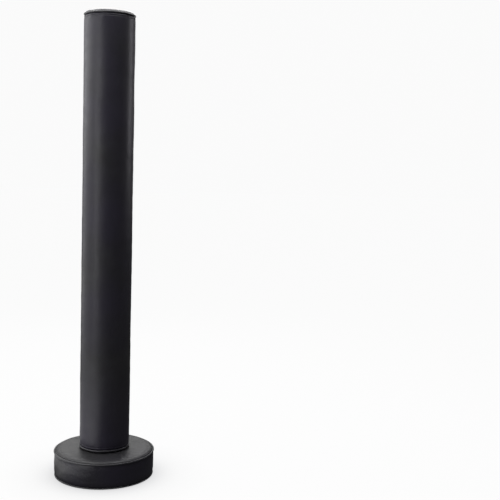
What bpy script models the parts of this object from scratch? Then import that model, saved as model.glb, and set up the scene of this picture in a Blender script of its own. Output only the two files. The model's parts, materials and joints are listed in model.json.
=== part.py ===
"""A pole pad: a tall padded column on a padded base ring, both wrapped round a pole.

Lengths are in metres and +Z is up. The origin is on the floor, on the axis of the pole.
The front is the -Y side. Both closures face the back. The column and the ring are slit
from top to bottom there, so that they open round the pole and close with leather flaps.
"""
from math import atan2, cos, hypot, pi, radians, sin

import bmesh
import bpy
from mathutils import Matrix, Vector

# Skins and gaps
SKIN = 0.0015
LINING = 0.0012
SEAT_GAP = 0.0003
HALF_SLIT = 0.00015
END_SKIN = 0.0015

# Facets round the pole: every skin shares them, so neighbours keep their gap
FACETS = 48
FACET_ANGLE = 2 * pi / FACETS

# Base ring
RING_HEIGHT = 0.118
RING_HOLE = 0.090
RING_WALL = 0.2098
RING_PIPING = 0.0038
RING_TOP_PIPING_RADIUS = 0.2090
RING_TOP_PIPING_DROP = 0.0134
RING_FOOT_PIPING = 0.0030
RING_FOOT_PIPING_RADIUS = 0.2066
RING_FOOT_PIPING_HEIGHT = 0.0051
RING_TOP_EDGE_DROP = 0.010
RING_LINING_FOOT = 0.0022
FOAM_TO_TOP_PIPING = 0.0008
FOAM_TO_FOOT_PIPING = 0.0006
FOAM_OFF_FLOOR = 0.0001
PANEL_TO_FOOT_PIPING = 0.0011
RING_SPLIT = radians(105)
RING_HINGE = radians(300)

# The valley under the ring's top flap, where the ends of the ring are pressed down
VALLEY_DEPTH = 0.0045
VALLEY_SLOPE_A = radians(15)
VALLEY_FLOOR_B = radians(22.5)
VALLEY_RISE_B = radians(15)
VALLEY_INNER_FADE = 0.007
VALLEY_OUTER_FADE = 0.011
VALLEY_EDGE_INSET = 0.0045
FOAM_EXTRA_DROP = 0.0015

# Column
COLUMN_LENGTH = 1.830
COLUMN_RADIUS = 0.105
BORE = 0.0385
COLUMN_PIPING = 0.0036
COLUMN_PIPING_RADIUS = 0.1028
COLUMN_TOP_PIPING_DROP = 0.0146
COLUMN_FOOT_PIPING_HEIGHT = 0.0090
COLUMN_LINING_FOOT = 0.0078
COLUMN_LINING_TOP_DROP = 0.0126
FOAM_TO_COLUMN_PIPING = 0.0006
COLUMN_SPLIT = radians(60)
COLUMN_HINGE = radians(270)
COLUMN_FOOT_GAP = 0.0008

# Closures
FLAP = 0.0015
SIDE_FLAP = 0.0017
COLUMN_FLAP = 0.0018
RING_FLAP_BEHIND = radians(3.75)
RING_FLAP_AHEAD = radians(11.25)
RING_FLAP_RADIUS = 0.2132
RING_FLAP_FOOT = 0.0095
TOP_FLAP_RISE = 0.0003
SIDE_FLAP_TOP_DROP = 0.0125
SIDE_FLAP_BEND_DROP = 0.004
SIDE_FLAP_SEAM_DROP = 0.013
TOP_FLAP_START = 0.112
TOP_FLAP_END_START = 0.091
FLAP_SLIT = 0.0004
COLUMN_FLAP_BEHIND = radians(7.5)
COLUMN_FLAP_AHEAD = radians(22.5)
COLUMN_FLAP_RADIUS = 0.1082
COLUMN_FLAP_SEAM_RADIUS = 0.1054
COLUMN_FLAP_FOOT = 0.026
COLUMN_FLAP_TOP_DROP = 0.034
HINGE_STAND_OFF = 0.0002

# Hook and loop strips
RING_TAPE = 0.0009
RING_SIDE_HOOK = 0.0013
RING_TOP_STRIP_START = 0.118
RING_TOP_STRIP_END = 0.184
RING_TOP_STRIP_NEAR = 0.006
RING_TOP_STRIP_FAR = 0.037
RING_TOP_LOOP_LIFT = 0.0004
RING_SIDE_STRIP_LOW = 0.022
RING_SIDE_STRIP_HIGH = 0.088
RING_SIDE_STRIP_START = radians(1.875)
RING_SIDE_STRIP_END = radians(9.375)
COLUMN_TAPE = 0.0010
COLUMN_STRIP_MARGIN_LOW = 0.034
COLUMN_STRIP_MARGIN_HIGH = 0.026
COLUMN_STRIP_START = radians(1.875)
COLUMN_STRIP_END = radians(20.625)
SMOOTH_BELOW = radians(38)

BLACK_LEATHER = ((0.020, 0.020, 0.022, 1), 0.42)
SIDE_LEATHER = ((0.024, 0.023, 0.026, 1), 0.45)
PIPING_LEATHER = ((0.030, 0.030, 0.033, 1), 0.36)
BLACK_LINING = ((0.008, 0.008, 0.009, 1), 0.85)
GREY_FOAM = ((0.115, 0.115, 0.120, 1), 0.95)
HOOK_TAPE = ((0.012, 0.012, 0.013, 1), 0.75)
LOOP_TAPE = ((0.016, 0.016, 0.018, 1), 0.98)


def clear_scene():
    for old in list(bpy.data.objects):
        bpy.data.objects.remove(old, do_unlink=True)


def new_collection(name):
    group = bpy.data.collections.new(name)
    bpy.context.scene.collection.children.link(group)
    return group


def clamp(value):
    return max(0.0, min(1.0, value))


def evaluated_mesh(item):
    """The mesh of an object with its modifiers, as a new mesh."""
    graph = bpy.context.evaluated_depsgraph_get()
    return bpy.data.meshes.new_from_object(item.evaluated_get(graph))


def drop(item):
    bpy.data.objects.remove(item, do_unlink=True)


def scratch_object(mesh, name="blank"):
    item = bpy.data.objects.new(name, mesh)
    bpy.context.scene.collection.objects.link(item)
    return item


def settled(item):
    """Apply an object's modifiers, and return the mesh alone."""
    mesh = evaluated_mesh(item)
    drop(item)
    return mesh


# Turned shapes

def outline_mesh(outline, closed):
    mesh = bpy.data.meshes.new("outline")
    points = [(radius, 0, height) for radius, height in outline]
    edges = [(i, i + 1) for i in range(len(points) - 1)]
    if closed:
        edges.append((len(points) - 1, 0))
    mesh.from_pydata(points, edges, [])
    return mesh


def turned(outline, closed, start=0.0, turn=2 * pi, steps=FACETS):
    """Turn an outline about the pole's axis. It runs down its outer side, top to bottom."""
    item = scratch_object(outline_mesh(outline, closed))
    screw = item.modifiers.new("turn", "SCREW")
    screw.axis = "Z"
    screw.angle = turn
    screw.steps = steps
    screw.render_steps = steps
    screw.use_merge_vertices = True
    screw.merge_threshold = 0.00001
    mesh = settled(item)
    mesh.transform(Matrix.Rotation(start, 4, "Z"))
    return mesh


def thickened(mesh, thickness, outward=False):
    """Give an open surface its thickness, on the inner side unless told otherwise."""
    item = scratch_object(mesh)
    shell = item.modifiers.new("thickness", "SOLIDIFY")
    shell.thickness = thickness
    shell.offset = 1.0 if outward else -1.0
    shell.use_even_offset = True
    shell.use_rim = True
    return settled(item)


def turned_skin(outline, thickness=SKIN):
    return thickened(turned(outline, closed=False), thickness)


def piping(radius, height, thickness):
    bpy.ops.mesh.primitive_torus_add(
        location=(0, 0, height),
        major_segments=FACETS,
        minor_segments=8,
        major_radius=radius,
        minor_radius=thickness,
    )
    item = bpy.context.object
    mesh = item.data.copy()
    mesh.transform(item.matrix_world)
    drop(item)
    return mesh


def inset(outline, depth):
    """Move an outline that runs clockwise to its right, which is into the material."""
    moved = []
    for index, (radius, height) in enumerate(outline):
        before = outline[max(index - 1, 0)]
        after = outline[min(index + 1, len(outline) - 1)]
        directions = []
        for near, far in ((before, (radius, height)), ((radius, height), after)):
            run = hypot(far[0] - near[0], far[1] - near[1])
            if run > 0:
                directions.append(Vector(((far[0] - near[0]) / run, (far[1] - near[1]) / run)))
        heading = sum(directions, Vector((0, 0))).normalized()
        spread = depth / max(heading.dot(directions[0]), 0.5)
        moved.append((radius + heading.y * spread, height - heading.x * spread))
    return moved


# Cutting into halves

def wedge(start, end, margin_start, margin_end):
    """A tall prism over the sector from start to end, with each side moved out by its margin."""
    reach = 1.0
    low, high = -0.1, COLUMN_LENGTH + 0.4
    normal_start = Vector((sin(start), -cos(start)))
    normal_end = Vector((-sin(end), cos(end)))
    across = normal_start.x * normal_end.y - normal_start.y * normal_end.x
    apex = Vector((
        (margin_start * normal_end.y - margin_end * normal_start.y) / across,
        (margin_end * normal_start.x - margin_start * normal_end.x) / across,
    ))
    corners = [apex, apex + reach * Vector((cos(start), sin(start)))]
    for share in (0.25, 0.5, 0.75):
        angle = start + share * (end - start)
        corners.append(2 * reach * Vector((cos(angle), sin(angle))))
    corners.append(apex + reach * Vector((cos(end), sin(end))))
    shape = bmesh.new()
    base = shape.faces.new([shape.verts.new((corner.x, corner.y, low)) for corner in corners])
    grown = bmesh.ops.extrude_face_region(shape, geom=[base])
    raised = [part for part in grown["geom"] if isinstance(part, bmesh.types.BMVert)]
    bmesh.ops.translate(shape, verts=raised, vec=(0, 0, high - low))
    bmesh.ops.recalc_face_normals(shape, faces=shape.faces)
    mesh = bpy.data.meshes.new("wedge")
    shape.to_mesh(mesh)
    shape.free()
    return mesh


def boolean(mesh, cutter_mesh, operation):
    item = scratch_object(mesh.copy())
    cutter = scratch_object(cutter_mesh, "cutter")
    cutter.hide_render = True
    cutter.display_type = "WIRE"
    cut = item.modifiers.new("cut", "BOOLEAN")
    cut.operation = operation
    cut.solver = "EXACT"
    cut.object = cutter
    result = settled(item)
    drop(cutter)
    return result


def halves(mesh, split, hinge, end_inset=0.0):
    """Cut a turned solid at its slit and at its fold line.

    Half b runs from the slit round to the fold line. Half a is the rest of the turn.
    """
    at_split = HALF_SLIT + end_inset
    side_a = boolean(mesh, wedge(hinge, split + 2 * pi, -HALF_SLIT, -at_split), "INTERSECT")
    side_b = boolean(mesh, wedge(hinge, split + 2 * pi, HALF_SLIT, at_split), "DIFFERENCE")
    return {"a": side_a, "b": side_b}


# Frames along a slit

def slit_frame(angle):
    """Local X runs out along the slit, local Y points ahead over half b, local Z is up."""
    return Matrix.Rotation(angle, 4, "Z")


def facet_factor(angle):
    """How far in the flat facets of a skin lie at an angle, as a share of the radius."""
    half = FACET_ANGLE / 2
    return cos(half) / cos(angle % FACET_ANGLE - half)


def seat_on_facets(mesh):
    """Bring points between the facet corners onto the facets, so that strips lie flat."""
    for vertex in mesh.vertices:
        angle = atan2(vertex.co.y, vertex.co.x)
        nearest = round(angle / FACET_ANGLE) * FACET_ANGLE
        if abs(angle - nearest) < radians(0.01):
            continue
        factor = facet_factor(angle)
        vertex.co.x *= factor
        vertex.co.y *= factor


def flat_plate(outline, low, thickness, frame):
    """A flat outline in a frame's XY plane, thick along its Z from low."""
    curve = bpy.data.curves.new("plate", "CURVE")
    curve.dimensions = "2D"
    curve.fill_mode = "BOTH"
    curve.extrude = thickness / 2
    spline = curve.splines.new("POLY")
    spline.points.add(len(outline) - 1)
    for point, (x, y) in zip(spline.points, outline):
        point.co = (x, y, 0, 1)
    spline.use_cyclic_u = True
    mesh = settled(scratch_object(curve))
    shape = bmesh.new()
    shape.from_mesh(mesh)
    bmesh.ops.remove_doubles(shape, verts=shape.verts, dist=0.00001)
    bmesh.ops.recalc_face_normals(shape, faces=shape.faces)
    shape.to_mesh(mesh)
    shape.free()
    mesh.transform(frame @ Matrix.Translation((0, 0, low + thickness / 2)))
    return mesh


# Ring outlines, each running clockwise with the outer side at the right

def ring_top_outline():
    top = RING_HEIGHT
    return [
        (RING_HOLE, top - RING_TOP_EDGE_DROP),
        (RING_HOLE + 0.0008, top - 0.0055),
        (RING_HOLE + 0.0035, top - 0.0020),
        (RING_HOLE + 0.0090, top - 0.0004),
        (RING_HOLE + 0.0160, top),
        (RING_WALL - 0.0628, top),
        (RING_WALL - 0.0218, top),
        (RING_WALL - 0.0118, top - 0.0014),
        (RING_WALL - 0.0053, top - 0.0050),
        (RING_WALL - 0.0025, top - 0.0087),
    ]


def ring_side_outline():
    piping_height = RING_HEIGHT - RING_TOP_PIPING_DROP
    return [
        (RING_WALL - 0.0022, piping_height - 0.0050),
        (RING_WALL - 0.0006, piping_height - 0.0126),
        (RING_WALL, RING_HEIGHT / 2),
        (RING_WALL - 0.0006, RING_FOOT_PIPING_HEIGHT + 0.0190),
        (RING_WALL - 0.0024, RING_FOOT_PIPING_HEIGHT + 0.0075),
        (RING_WALL - 0.0042, RING_FOOT_PIPING_HEIGHT + 0.0041),
    ]


def ring_foam_outline():
    """The foam takes every few points of its skins, which keeps it inside their curves."""
    depth = SKIN + SEAT_GAP
    beside_top_piping = RING_TOP_PIPING_RADIUS - RING_PIPING - FOAM_TO_TOP_PIPING
    beside_foot_piping = RING_FOOT_PIPING_RADIUS - RING_FOOT_PIPING - FOAM_TO_FOOT_PIPING
    side = inset(ring_side_outline(), depth)
    floor = depth + FOAM_OFF_FLOOR
    bore = RING_HOLE + LINING + SEAT_GAP
    return (
        [(bore, floor)]
        + inset(ring_top_outline(), depth)[::3]
        + [(beside_top_piping, RING_HEIGHT - RING_TOP_PIPING_DROP)]
        + [side[0], side[2], side[-1]]
        + [(beside_foot_piping, RING_FOOT_PIPING_HEIGHT), (beside_foot_piping - 0.001, floor)]
    )


# Column outlines, in the column's own frame with its foot at zero

def column_top_outline():
    top = COLUMN_LENGTH
    return [
        (BORE, top - 0.0120),
        (BORE + 0.0009, top - 0.0070),
        (BORE + 0.0045, top - 0.0032),
        (BORE + 0.0140, top - 0.0008),
        (BORE + 0.0320, top),
        (COLUMN_RADIUS - 0.0190, top - 0.0015),
        (COLUMN_RADIUS - 0.0090, top - 0.0055),
        (COLUMN_RADIUS - 0.0038, top - 0.0100),
    ]


def column_side_outline():
    top_piping = COLUMN_LENGTH - COLUMN_TOP_PIPING_DROP
    foot_piping = COLUMN_FOOT_PIPING_HEIGHT
    return [
        (COLUMN_RADIUS - 0.0034, top_piping - 0.0048),
        (COLUMN_RADIUS - 0.0008, top_piping - 0.0135),
        (COLUMN_RADIUS, top_piping - 0.0450),
        (COLUMN_RADIUS, foot_piping + 0.0450),
        (COLUMN_RADIUS - 0.0008, foot_piping + 0.0135),
        (COLUMN_RADIUS - 0.0034, foot_piping + 0.0048),
    ]


def column_foot_outline():
    return [
        (COLUMN_RADIUS - 0.0040, 0.0042),
        (COLUMN_RADIUS - 0.0080, 0.0012),
        (COLUMN_RADIUS - 0.0150, 0.0),
        (BORE + 0.0055, 0.0),
        (BORE, 0.0060),
    ]


def column_foam_outline():
    """The foam takes every few points of its skins, which keeps it inside their curves."""
    depth = SKIN + SEAT_GAP
    beside_piping = COLUMN_PIPING_RADIUS - COLUMN_PIPING - FOAM_TO_COLUMN_PIPING
    return (
        inset(column_top_outline(), depth)[::2]
        + [(beside_piping, COLUMN_LENGTH - COLUMN_TOP_PIPING_DROP)]
        + inset(column_side_outline(), depth)[1::3]
        + [(beside_piping, COLUMN_FOOT_PIPING_HEIGHT)]
        + inset(column_foot_outline(), depth)[1::2]
    )


# The valley in the ring's top

def valley_drop(x, y, depth=VALLEY_DEPTH):
    """How far the top is pressed down at a point in the slit's frame."""
    radius = hypot(x, y)
    angle = atan2(y, x)
    if angle < 0:
        share = clamp(1 + angle / VALLEY_SLOPE_A)
    else:
        share = clamp((VALLEY_FLOOR_B + VALLEY_RISE_B - angle) / VALLEY_RISE_B)
    inner = clamp((radius - RING_HOLE - LINING - 2 * SEAT_GAP) / VALLEY_INNER_FADE)
    outer = clamp((RING_WALL - VALLEY_EDGE_INSET - radius) / VALLEY_OUTER_FADE)
    return depth * share * inner * outer


def press_valley(mesh, depth=VALLEY_DEPTH):
    back = slit_frame(RING_SPLIT).inverted()
    for vertex in mesh.vertices:
        if vertex.co.z < RING_HEIGHT / 2:
            continue
        local = back @ vertex.co
        vertex.co.z -= valley_drop(local.x, local.y, depth)


# End panels, which close the foam at the slit

def end_panel(outline, split, ahead, valley):
    """A flat panel with the foam's section, on one side of the slit."""
    section = []
    for radius, height in outline:
        if valley and height > RING_HEIGHT / 2:
            height -= valley_drop(radius, 0, VALLEY_DEPTH + FOAM_EXTRA_DROP)
        section.append((radius, height))
    upright = Matrix(((1, 0, 0, 0), (0, 0, 1, 0), (0, 1, 0, 0), (0, 0, 0, 1)))
    low = HALF_SLIT if ahead else -HALF_SLIT - END_SKIN
    mesh = flat_plate(section, low, END_SKIN, slit_frame(split) @ upright)
    mesh.flip_normals()
    return mesh


# Closures

def curved_patch(outline, split, behind, ahead, steps):
    """A strip that follows the facets of a skin, from behind a slit to ahead of it."""
    mesh = turned(outline, False, split - behind, behind + ahead, steps)
    seat_on_facets(mesh)
    return mesh


def upright_strip(radius, heights, split, span, thickness):
    """A tape strip ahead of a slit. Its steps meet every facet corner under it."""
    low, high = heights
    start, end = span
    steps = round((end - start) / (FACET_ANGLE / 4))
    mesh = curved_patch([(radius, high), (radius, low)], split, -start, end, steps)
    return thickened(mesh, thickness, outward=True)


def pull_in_seam(mesh, seam_angle, radius, low, high):
    """Lay the sewn edge of a flap down on the skin, between two heights."""
    for vertex in mesh.vertices:
        angle = atan2(vertex.co.y, vertex.co.x)
        if abs(angle - seam_angle) > radians(0.1):
            continue
        if not low <= vertex.co.z <= high:
            continue
        scale = radius / hypot(vertex.co.x, vertex.co.y)
        vertex.co.x *= scale
        vertex.co.y *= scale


def rectangle(x_low, x_high, y_low, y_high):
    return [(x_low, y_low), (x_high, y_low), (x_high, y_high), (x_low, y_high)]


def ring_flap_rows():
    """The angles across the ring's flap, and how far each lies ahead of the slit."""
    angles = [-RING_FLAP_BEHIND]
    while angles[-1] < RING_FLAP_AHEAD - FACET_ANGLE / 4:
        angles.append(angles[-1] + FACET_ANGLE / 2)
    aheads = [RING_FLAP_RADIUS * facet_factor(angle) * sin(angle) for angle in angles]
    return angles, aheads


def ring_top_flap():
    """A straight strip that lies on the top and bends down over the round rim."""
    shoulder = (
        (RING_WALL - 0.0198, 0.0),
        (RING_WALL - 0.0108, -0.0012),
        (RING_WALL - 0.0038, -0.0038),
        (RING_WALL + 0.0007, -0.0070),
        (RING_WALL + 0.0030, -0.0103),
    )
    low = RING_HEIGHT + TOP_FLAP_RISE - FLAP
    angles, aheads = ring_flap_rows()
    points = [(TOP_FLAP_START, ahead, low) for ahead in aheads]
    for radius, rise in shoulder:
        for angle, ahead in zip(angles, aheads):
            reach = radius * facet_factor(angle)
            points.append(((reach ** 2 - ahead ** 2) ** 0.5, ahead, low + rise))
    count = len(angles)
    faces = []
    for station in range(len(shoulder)):
        for row in range(count - 1):
            corner = station * count + row
            faces.append((corner, corner + count, corner + count + 1, corner + 1))
    mesh = bpy.data.meshes.new("top_flap")
    mesh.from_pydata(points, [], faces)
    mesh.transform(slit_frame(RING_SPLIT))
    return thickened(mesh, FLAP, outward=True)


def ring_side_flap():
    piping_height = RING_HEIGHT - RING_TOP_PIPING_DROP
    wall_top = piping_height - SIDE_FLAP_SEAM_DROP
    outline = [
        (RING_FLAP_RADIUS, RING_HEIGHT - SIDE_FLAP_TOP_DROP),
        (RING_FLAP_RADIUS, piping_height - SIDE_FLAP_BEND_DROP),
        (RING_FLAP_RADIUS, wall_top),
        (RING_FLAP_RADIUS, RING_FLAP_FOOT),
    ]
    mesh = curved_patch(outline, RING_SPLIT, RING_FLAP_BEHIND, RING_FLAP_AHEAD, 4)
    seam_radius = (RING_WALL + SEAT_GAP) * facet_factor(RING_FLAP_BEHIND)
    pull_in_seam(mesh, RING_SPLIT - RING_FLAP_BEHIND, seam_radius, 0, wall_top + 0.001)
    return thickened(mesh, SIDE_FLAP, outward=True)


def column_flap():
    high = COLUMN_LENGTH - COLUMN_FLAP_TOP_DROP
    outline = [(COLUMN_FLAP_RADIUS, high), (COLUMN_FLAP_RADIUS, COLUMN_FLAP_FOOT)]
    mesh = curved_patch(outline, COLUMN_SPLIT, COLUMN_FLAP_BEHIND, COLUMN_FLAP_AHEAD, 4)
    seam = COLUMN_SPLIT - COLUMN_FLAP_BEHIND
    pull_in_seam(mesh, seam, COLUMN_FLAP_SEAM_RADIUS, 0, COLUMN_LENGTH)
    return thickened(mesh, COLUMN_FLAP, outward=True)


# Putting the object together

def leather_material(name, look):
    colour, roughness = look
    material = bpy.data.materials.new(name)
    material.use_nodes = True
    shader = material.node_tree.nodes["Principled BSDF"]
    shader.inputs["Base Color"].default_value = colour
    shader.inputs["Roughness"].default_value = roughness
    shader.inputs["Metallic"].default_value = 0.0
    return material


def add_axis(group, name, place, parent=None):
    """An empty on a joint's axis, which carries what turns or slides there."""
    empty = bpy.data.objects.new(name, None)
    empty.empty_display_size = 0.05
    group.objects.link(empty)
    if parent is not None:
        empty.parent = parent
        bpy.context.view_layer.update()
        empty.location = parent.matrix_world.inverted() @ Vector(place)
    else:
        empty.location = place
    bpy.context.view_layer.update()
    return empty


def add_piece(group, name, mesh, look, axis=None, lift=0.0):
    """Link a mesh as a named piece, moved so that its origin is on the axis that carries it."""
    mesh.name = name
    if lift:
        mesh.transform(Matrix.Translation((0, 0, lift)))
    item = bpy.data.objects.new(name, mesh)
    group.objects.link(item)
    mesh.materials.clear()
    mesh.materials.append(leather_material(name, look))
    mesh.shade_smooth()
    mesh.set_sharp_from_angle(angle=SMOOTH_BELOW)
    if axis is not None:
        item.parent = axis
        mesh.transform(axis.matrix_world.inverted())
    return item


def on_circle(radius, angle, height=0.0):
    return Vector((radius * cos(angle), radius * sin(angle), height))


def build_ring(group):
    outline = ring_foam_outline()
    top_panel = turned_skin(ring_top_outline())
    foam = turned(outline, closed=True)
    press_valley(top_panel)
    press_valley(foam, VALLEY_DEPTH + FOAM_EXTRA_DROP)
    piping_height = RING_HEIGHT - RING_TOP_PIPING_DROP
    bottom_edge = RING_FOOT_PIPING_RADIUS - RING_FOOT_PIPING - PANEL_TO_FOOT_PIPING
    lining_edge = RING_HOLE + LINING + SEAT_GAP
    lining_top = RING_HEIGHT - RING_TOP_EDGE_DROP - 2 * SEAT_GAP
    lining = [(RING_HOLE, RING_LINING_FOOT), (RING_HOLE, lining_top)]
    skins = {
        "top_panel": (top_panel, BLACK_LEATHER),
        "side_panel": (turned_skin(ring_side_outline()), SIDE_LEATHER),
        "bottom_panel": (turned_skin([(bottom_edge, 0), (lining_edge, 0)]), SIDE_LEATHER),
        "lining": (turned_skin(lining, LINING), BLACK_LINING),
        "top_piping": (piping(RING_TOP_PIPING_RADIUS, piping_height, RING_PIPING), PIPING_LEATHER),
        "bottom_piping": (
            piping(RING_FOOT_PIPING_RADIUS, RING_FOOT_PIPING_HEIGHT, RING_FOOT_PIPING),
            PIPING_LEATHER,
        ),
    }
    hinge_radius = RING_TOP_PIPING_RADIUS + RING_PIPING + HINGE_STAND_OFF
    opening = add_axis(group, "ring_opening_axis", on_circle(hinge_radius, RING_HINGE))
    carriers = {"a": None, "b": opening}
    for part, (mesh, look) in skins.items():
        for side, half in halves(mesh, RING_SPLIT, RING_HINGE).items():
            add_piece(group, f"ring_{side}_{part}", half, look, carriers[side])
    for side, half in halves(foam, RING_SPLIT, RING_HINGE, END_SKIN + SEAT_GAP).items():
        add_piece(group, f"ring_{side}_foam", half, GREY_FOAM, carriers[side])
        panel = end_panel(outline, RING_SPLIT, side == "b", valley=True)
        add_piece(group, f"ring_{side}_end_panel", panel, BLACK_LINING, carriers[side])
    return opening


def build_ring_closure(group, opening):
    frame = slit_frame(RING_SPLIT)
    flap_top = RING_HEIGHT + TOP_FLAP_RISE
    flap_low = flap_top - FLAP
    aheads = ring_flap_rows()[1]
    inner_end = rectangle(TOP_FLAP_END_START, TOP_FLAP_START - FLAP_SLIT, aheads[0], aheads[-1])
    add_piece(group, "ring_flap_inner_end", flat_plate(inner_end, flap_low, FLAP, frame), BLACK_LEATHER)

    seam = frame @ Vector((TOP_FLAP_START, aheads[0], flap_top))
    top_axis = add_axis(group, "ring_top_flap_axis", seam)
    add_piece(group, "ring_top_flap", ring_top_flap(), BLACK_LEATHER, top_axis)

    strip = rectangle(
        RING_TOP_STRIP_START, RING_TOP_STRIP_END, RING_TOP_STRIP_NEAR, RING_TOP_STRIP_FAR
    )
    hook = flat_plate(strip, flap_low - SEAT_GAP - RING_TAPE, RING_TAPE, frame)
    loop = flat_plate(strip, RING_HEIGHT - VALLEY_DEPTH + RING_TOP_LOOP_LIFT, RING_TAPE, frame)
    add_piece(group, "ring_top_hook_strip", hook, HOOK_TAPE, top_axis)
    add_piece(group, "ring_top_loop_strip", loop, LOOP_TAPE, opening)

    seam_radius = (RING_FLAP_RADIUS + SIDE_FLAP) * facet_factor(RING_FLAP_BEHIND)
    side_seam = on_circle(seam_radius, RING_SPLIT - RING_FLAP_BEHIND)
    side_axis = add_axis(group, "ring_side_flap_axis", side_seam)
    add_piece(group, "ring_side_flap", ring_side_flap(), SIDE_LEATHER, side_axis)
    heights = (RING_SIDE_STRIP_LOW, RING_SIDE_STRIP_HIGH)
    span = (RING_SIDE_STRIP_START, RING_SIDE_STRIP_END)
    hook_radius = RING_FLAP_RADIUS - SEAT_GAP - RING_SIDE_HOOK
    hook = upright_strip(hook_radius, heights, RING_SPLIT, span, RING_SIDE_HOOK)
    loop = upright_strip(RING_WALL + SEAT_GAP, heights, RING_SPLIT, span, RING_TAPE)
    add_piece(group, "ring_side_hook_strip", hook, HOOK_TAPE, side_axis)
    add_piece(group, "ring_side_loop_strip", loop, LOOP_TAPE, opening)


def build_column(group):
    outline = column_foam_outline()
    foot = RING_HEIGHT + COLUMN_FOOT_GAP
    top_piping = COLUMN_LENGTH - COLUMN_TOP_PIPING_DROP
    lining = [(BORE, COLUMN_LINING_FOOT), (BORE, COLUMN_LENGTH - COLUMN_LINING_TOP_DROP)]
    skins = {
        "top_cap": (turned_skin(column_top_outline()), BLACK_LEATHER),
        "side_panel": (turned_skin(column_side_outline()), SIDE_LEATHER),
        "bottom_cap": (turned_skin(column_foot_outline()), BLACK_LEATHER),
        "lining": (turned_skin(lining, LINING), BLACK_LINING),
        "top_piping": (piping(COLUMN_PIPING_RADIUS, top_piping, COLUMN_PIPING), PIPING_LEATHER),
        "bottom_piping": (
            piping(COLUMN_PIPING_RADIUS, COLUMN_FOOT_PIPING_HEIGHT, COLUMN_PIPING),
            PIPING_LEATHER,
        ),
    }
    lift = add_axis(group, "column_lift_axis", (0, 0, foot))
    hinge_radius = COLUMN_PIPING_RADIUS + COLUMN_PIPING + HINGE_STAND_OFF
    opening = add_axis(group, "column_opening_axis", on_circle(hinge_radius, COLUMN_HINGE, foot), lift)
    carriers = {"a": lift, "b": opening}
    for part, (mesh, look) in skins.items():
        for side, half in halves(mesh, COLUMN_SPLIT, COLUMN_HINGE).items():
            add_piece(group, f"column_{side}_{part}", half, look, carriers[side], foot)
    foam = turned(outline, closed=True)
    for side, half in halves(foam, COLUMN_SPLIT, COLUMN_HINGE, END_SKIN + SEAT_GAP).items():
        add_piece(group, f"column_{side}_foam", half, GREY_FOAM, carriers[side], foot)
        panel = end_panel(outline, COLUMN_SPLIT, side == "b", valley=False)
        add_piece(group, f"column_{side}_end_panel", panel, BLACK_LINING, carriers[side], foot)
    return lift, opening


def build_column_closure(group, lift, opening):
    foot = RING_HEIGHT + COLUMN_FOOT_GAP
    seam_radius = COLUMN_FLAP_SEAM_RADIUS + COLUMN_FLAP
    seam_angle = COLUMN_SPLIT - COLUMN_FLAP_BEHIND
    axis = add_axis(group, "column_flap_axis", on_circle(seam_radius, seam_angle, foot), lift)
    add_piece(group, "column_flap", column_flap(), SIDE_LEATHER, axis, foot)
    low = COLUMN_FLAP_FOOT + COLUMN_STRIP_MARGIN_LOW
    high = COLUMN_LENGTH - COLUMN_FLAP_TOP_DROP - COLUMN_STRIP_MARGIN_HIGH
    span = (COLUMN_STRIP_START, COLUMN_STRIP_END)
    hook_radius = COLUMN_FLAP_RADIUS - SEAT_GAP - COLUMN_TAPE
    hook = upright_strip(hook_radius, (low, high), COLUMN_SPLIT, span, COLUMN_TAPE)
    loop = upright_strip(COLUMN_RADIUS + SEAT_GAP, (low, high), COLUMN_SPLIT, span, COLUMN_TAPE)
    add_piece(group, "column_hook_strip", hook, HOOK_TAPE, axis, foot)
    add_piece(group, "column_loop_strip", loop, LOOP_TAPE, opening, foot)


def main():
    clear_scene()
    pad = new_collection("pole_pad")
    ring_opening = build_ring(pad)
    build_ring_closure(pad, ring_opening)
    column_lift, column_opening = build_column(pad)
    build_column_closure(pad, column_lift, column_opening)


main()
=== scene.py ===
"""Looks of a pole pad: leather skins swollen over foam, piping, stitching, flaps and tapes.

Lengths are in metres. A skin is a grid of points: its rows follow the section of the pad,
clockwise with the outer side at the right, and its columns go round the pole from the slit.
"""

import json
from collections import namedtuple
from math import atan2, ceil, cos, pi, radians, sin

import bpy
import numpy as np
from mathutils import Matrix, Vector, noise

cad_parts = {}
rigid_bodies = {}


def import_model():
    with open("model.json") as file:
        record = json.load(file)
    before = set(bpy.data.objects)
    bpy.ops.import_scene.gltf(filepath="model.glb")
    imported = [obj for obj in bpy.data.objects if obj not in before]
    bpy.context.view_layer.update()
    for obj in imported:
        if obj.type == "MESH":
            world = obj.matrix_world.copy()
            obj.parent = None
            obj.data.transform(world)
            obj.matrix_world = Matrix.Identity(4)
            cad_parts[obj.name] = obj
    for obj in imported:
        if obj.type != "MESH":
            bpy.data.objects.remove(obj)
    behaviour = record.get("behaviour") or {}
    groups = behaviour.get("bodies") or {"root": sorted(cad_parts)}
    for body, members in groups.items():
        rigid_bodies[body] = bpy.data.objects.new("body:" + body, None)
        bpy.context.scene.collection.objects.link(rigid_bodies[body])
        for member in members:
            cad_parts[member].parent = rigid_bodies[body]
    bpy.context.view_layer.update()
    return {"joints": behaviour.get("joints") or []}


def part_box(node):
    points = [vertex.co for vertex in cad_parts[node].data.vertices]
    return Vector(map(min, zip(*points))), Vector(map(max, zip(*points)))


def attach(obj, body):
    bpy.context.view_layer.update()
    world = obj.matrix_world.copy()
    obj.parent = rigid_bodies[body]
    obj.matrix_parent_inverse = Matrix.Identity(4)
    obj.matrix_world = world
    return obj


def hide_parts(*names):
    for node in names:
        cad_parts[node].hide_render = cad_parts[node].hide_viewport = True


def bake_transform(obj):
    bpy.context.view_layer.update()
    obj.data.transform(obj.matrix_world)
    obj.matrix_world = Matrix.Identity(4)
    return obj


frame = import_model()

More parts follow.
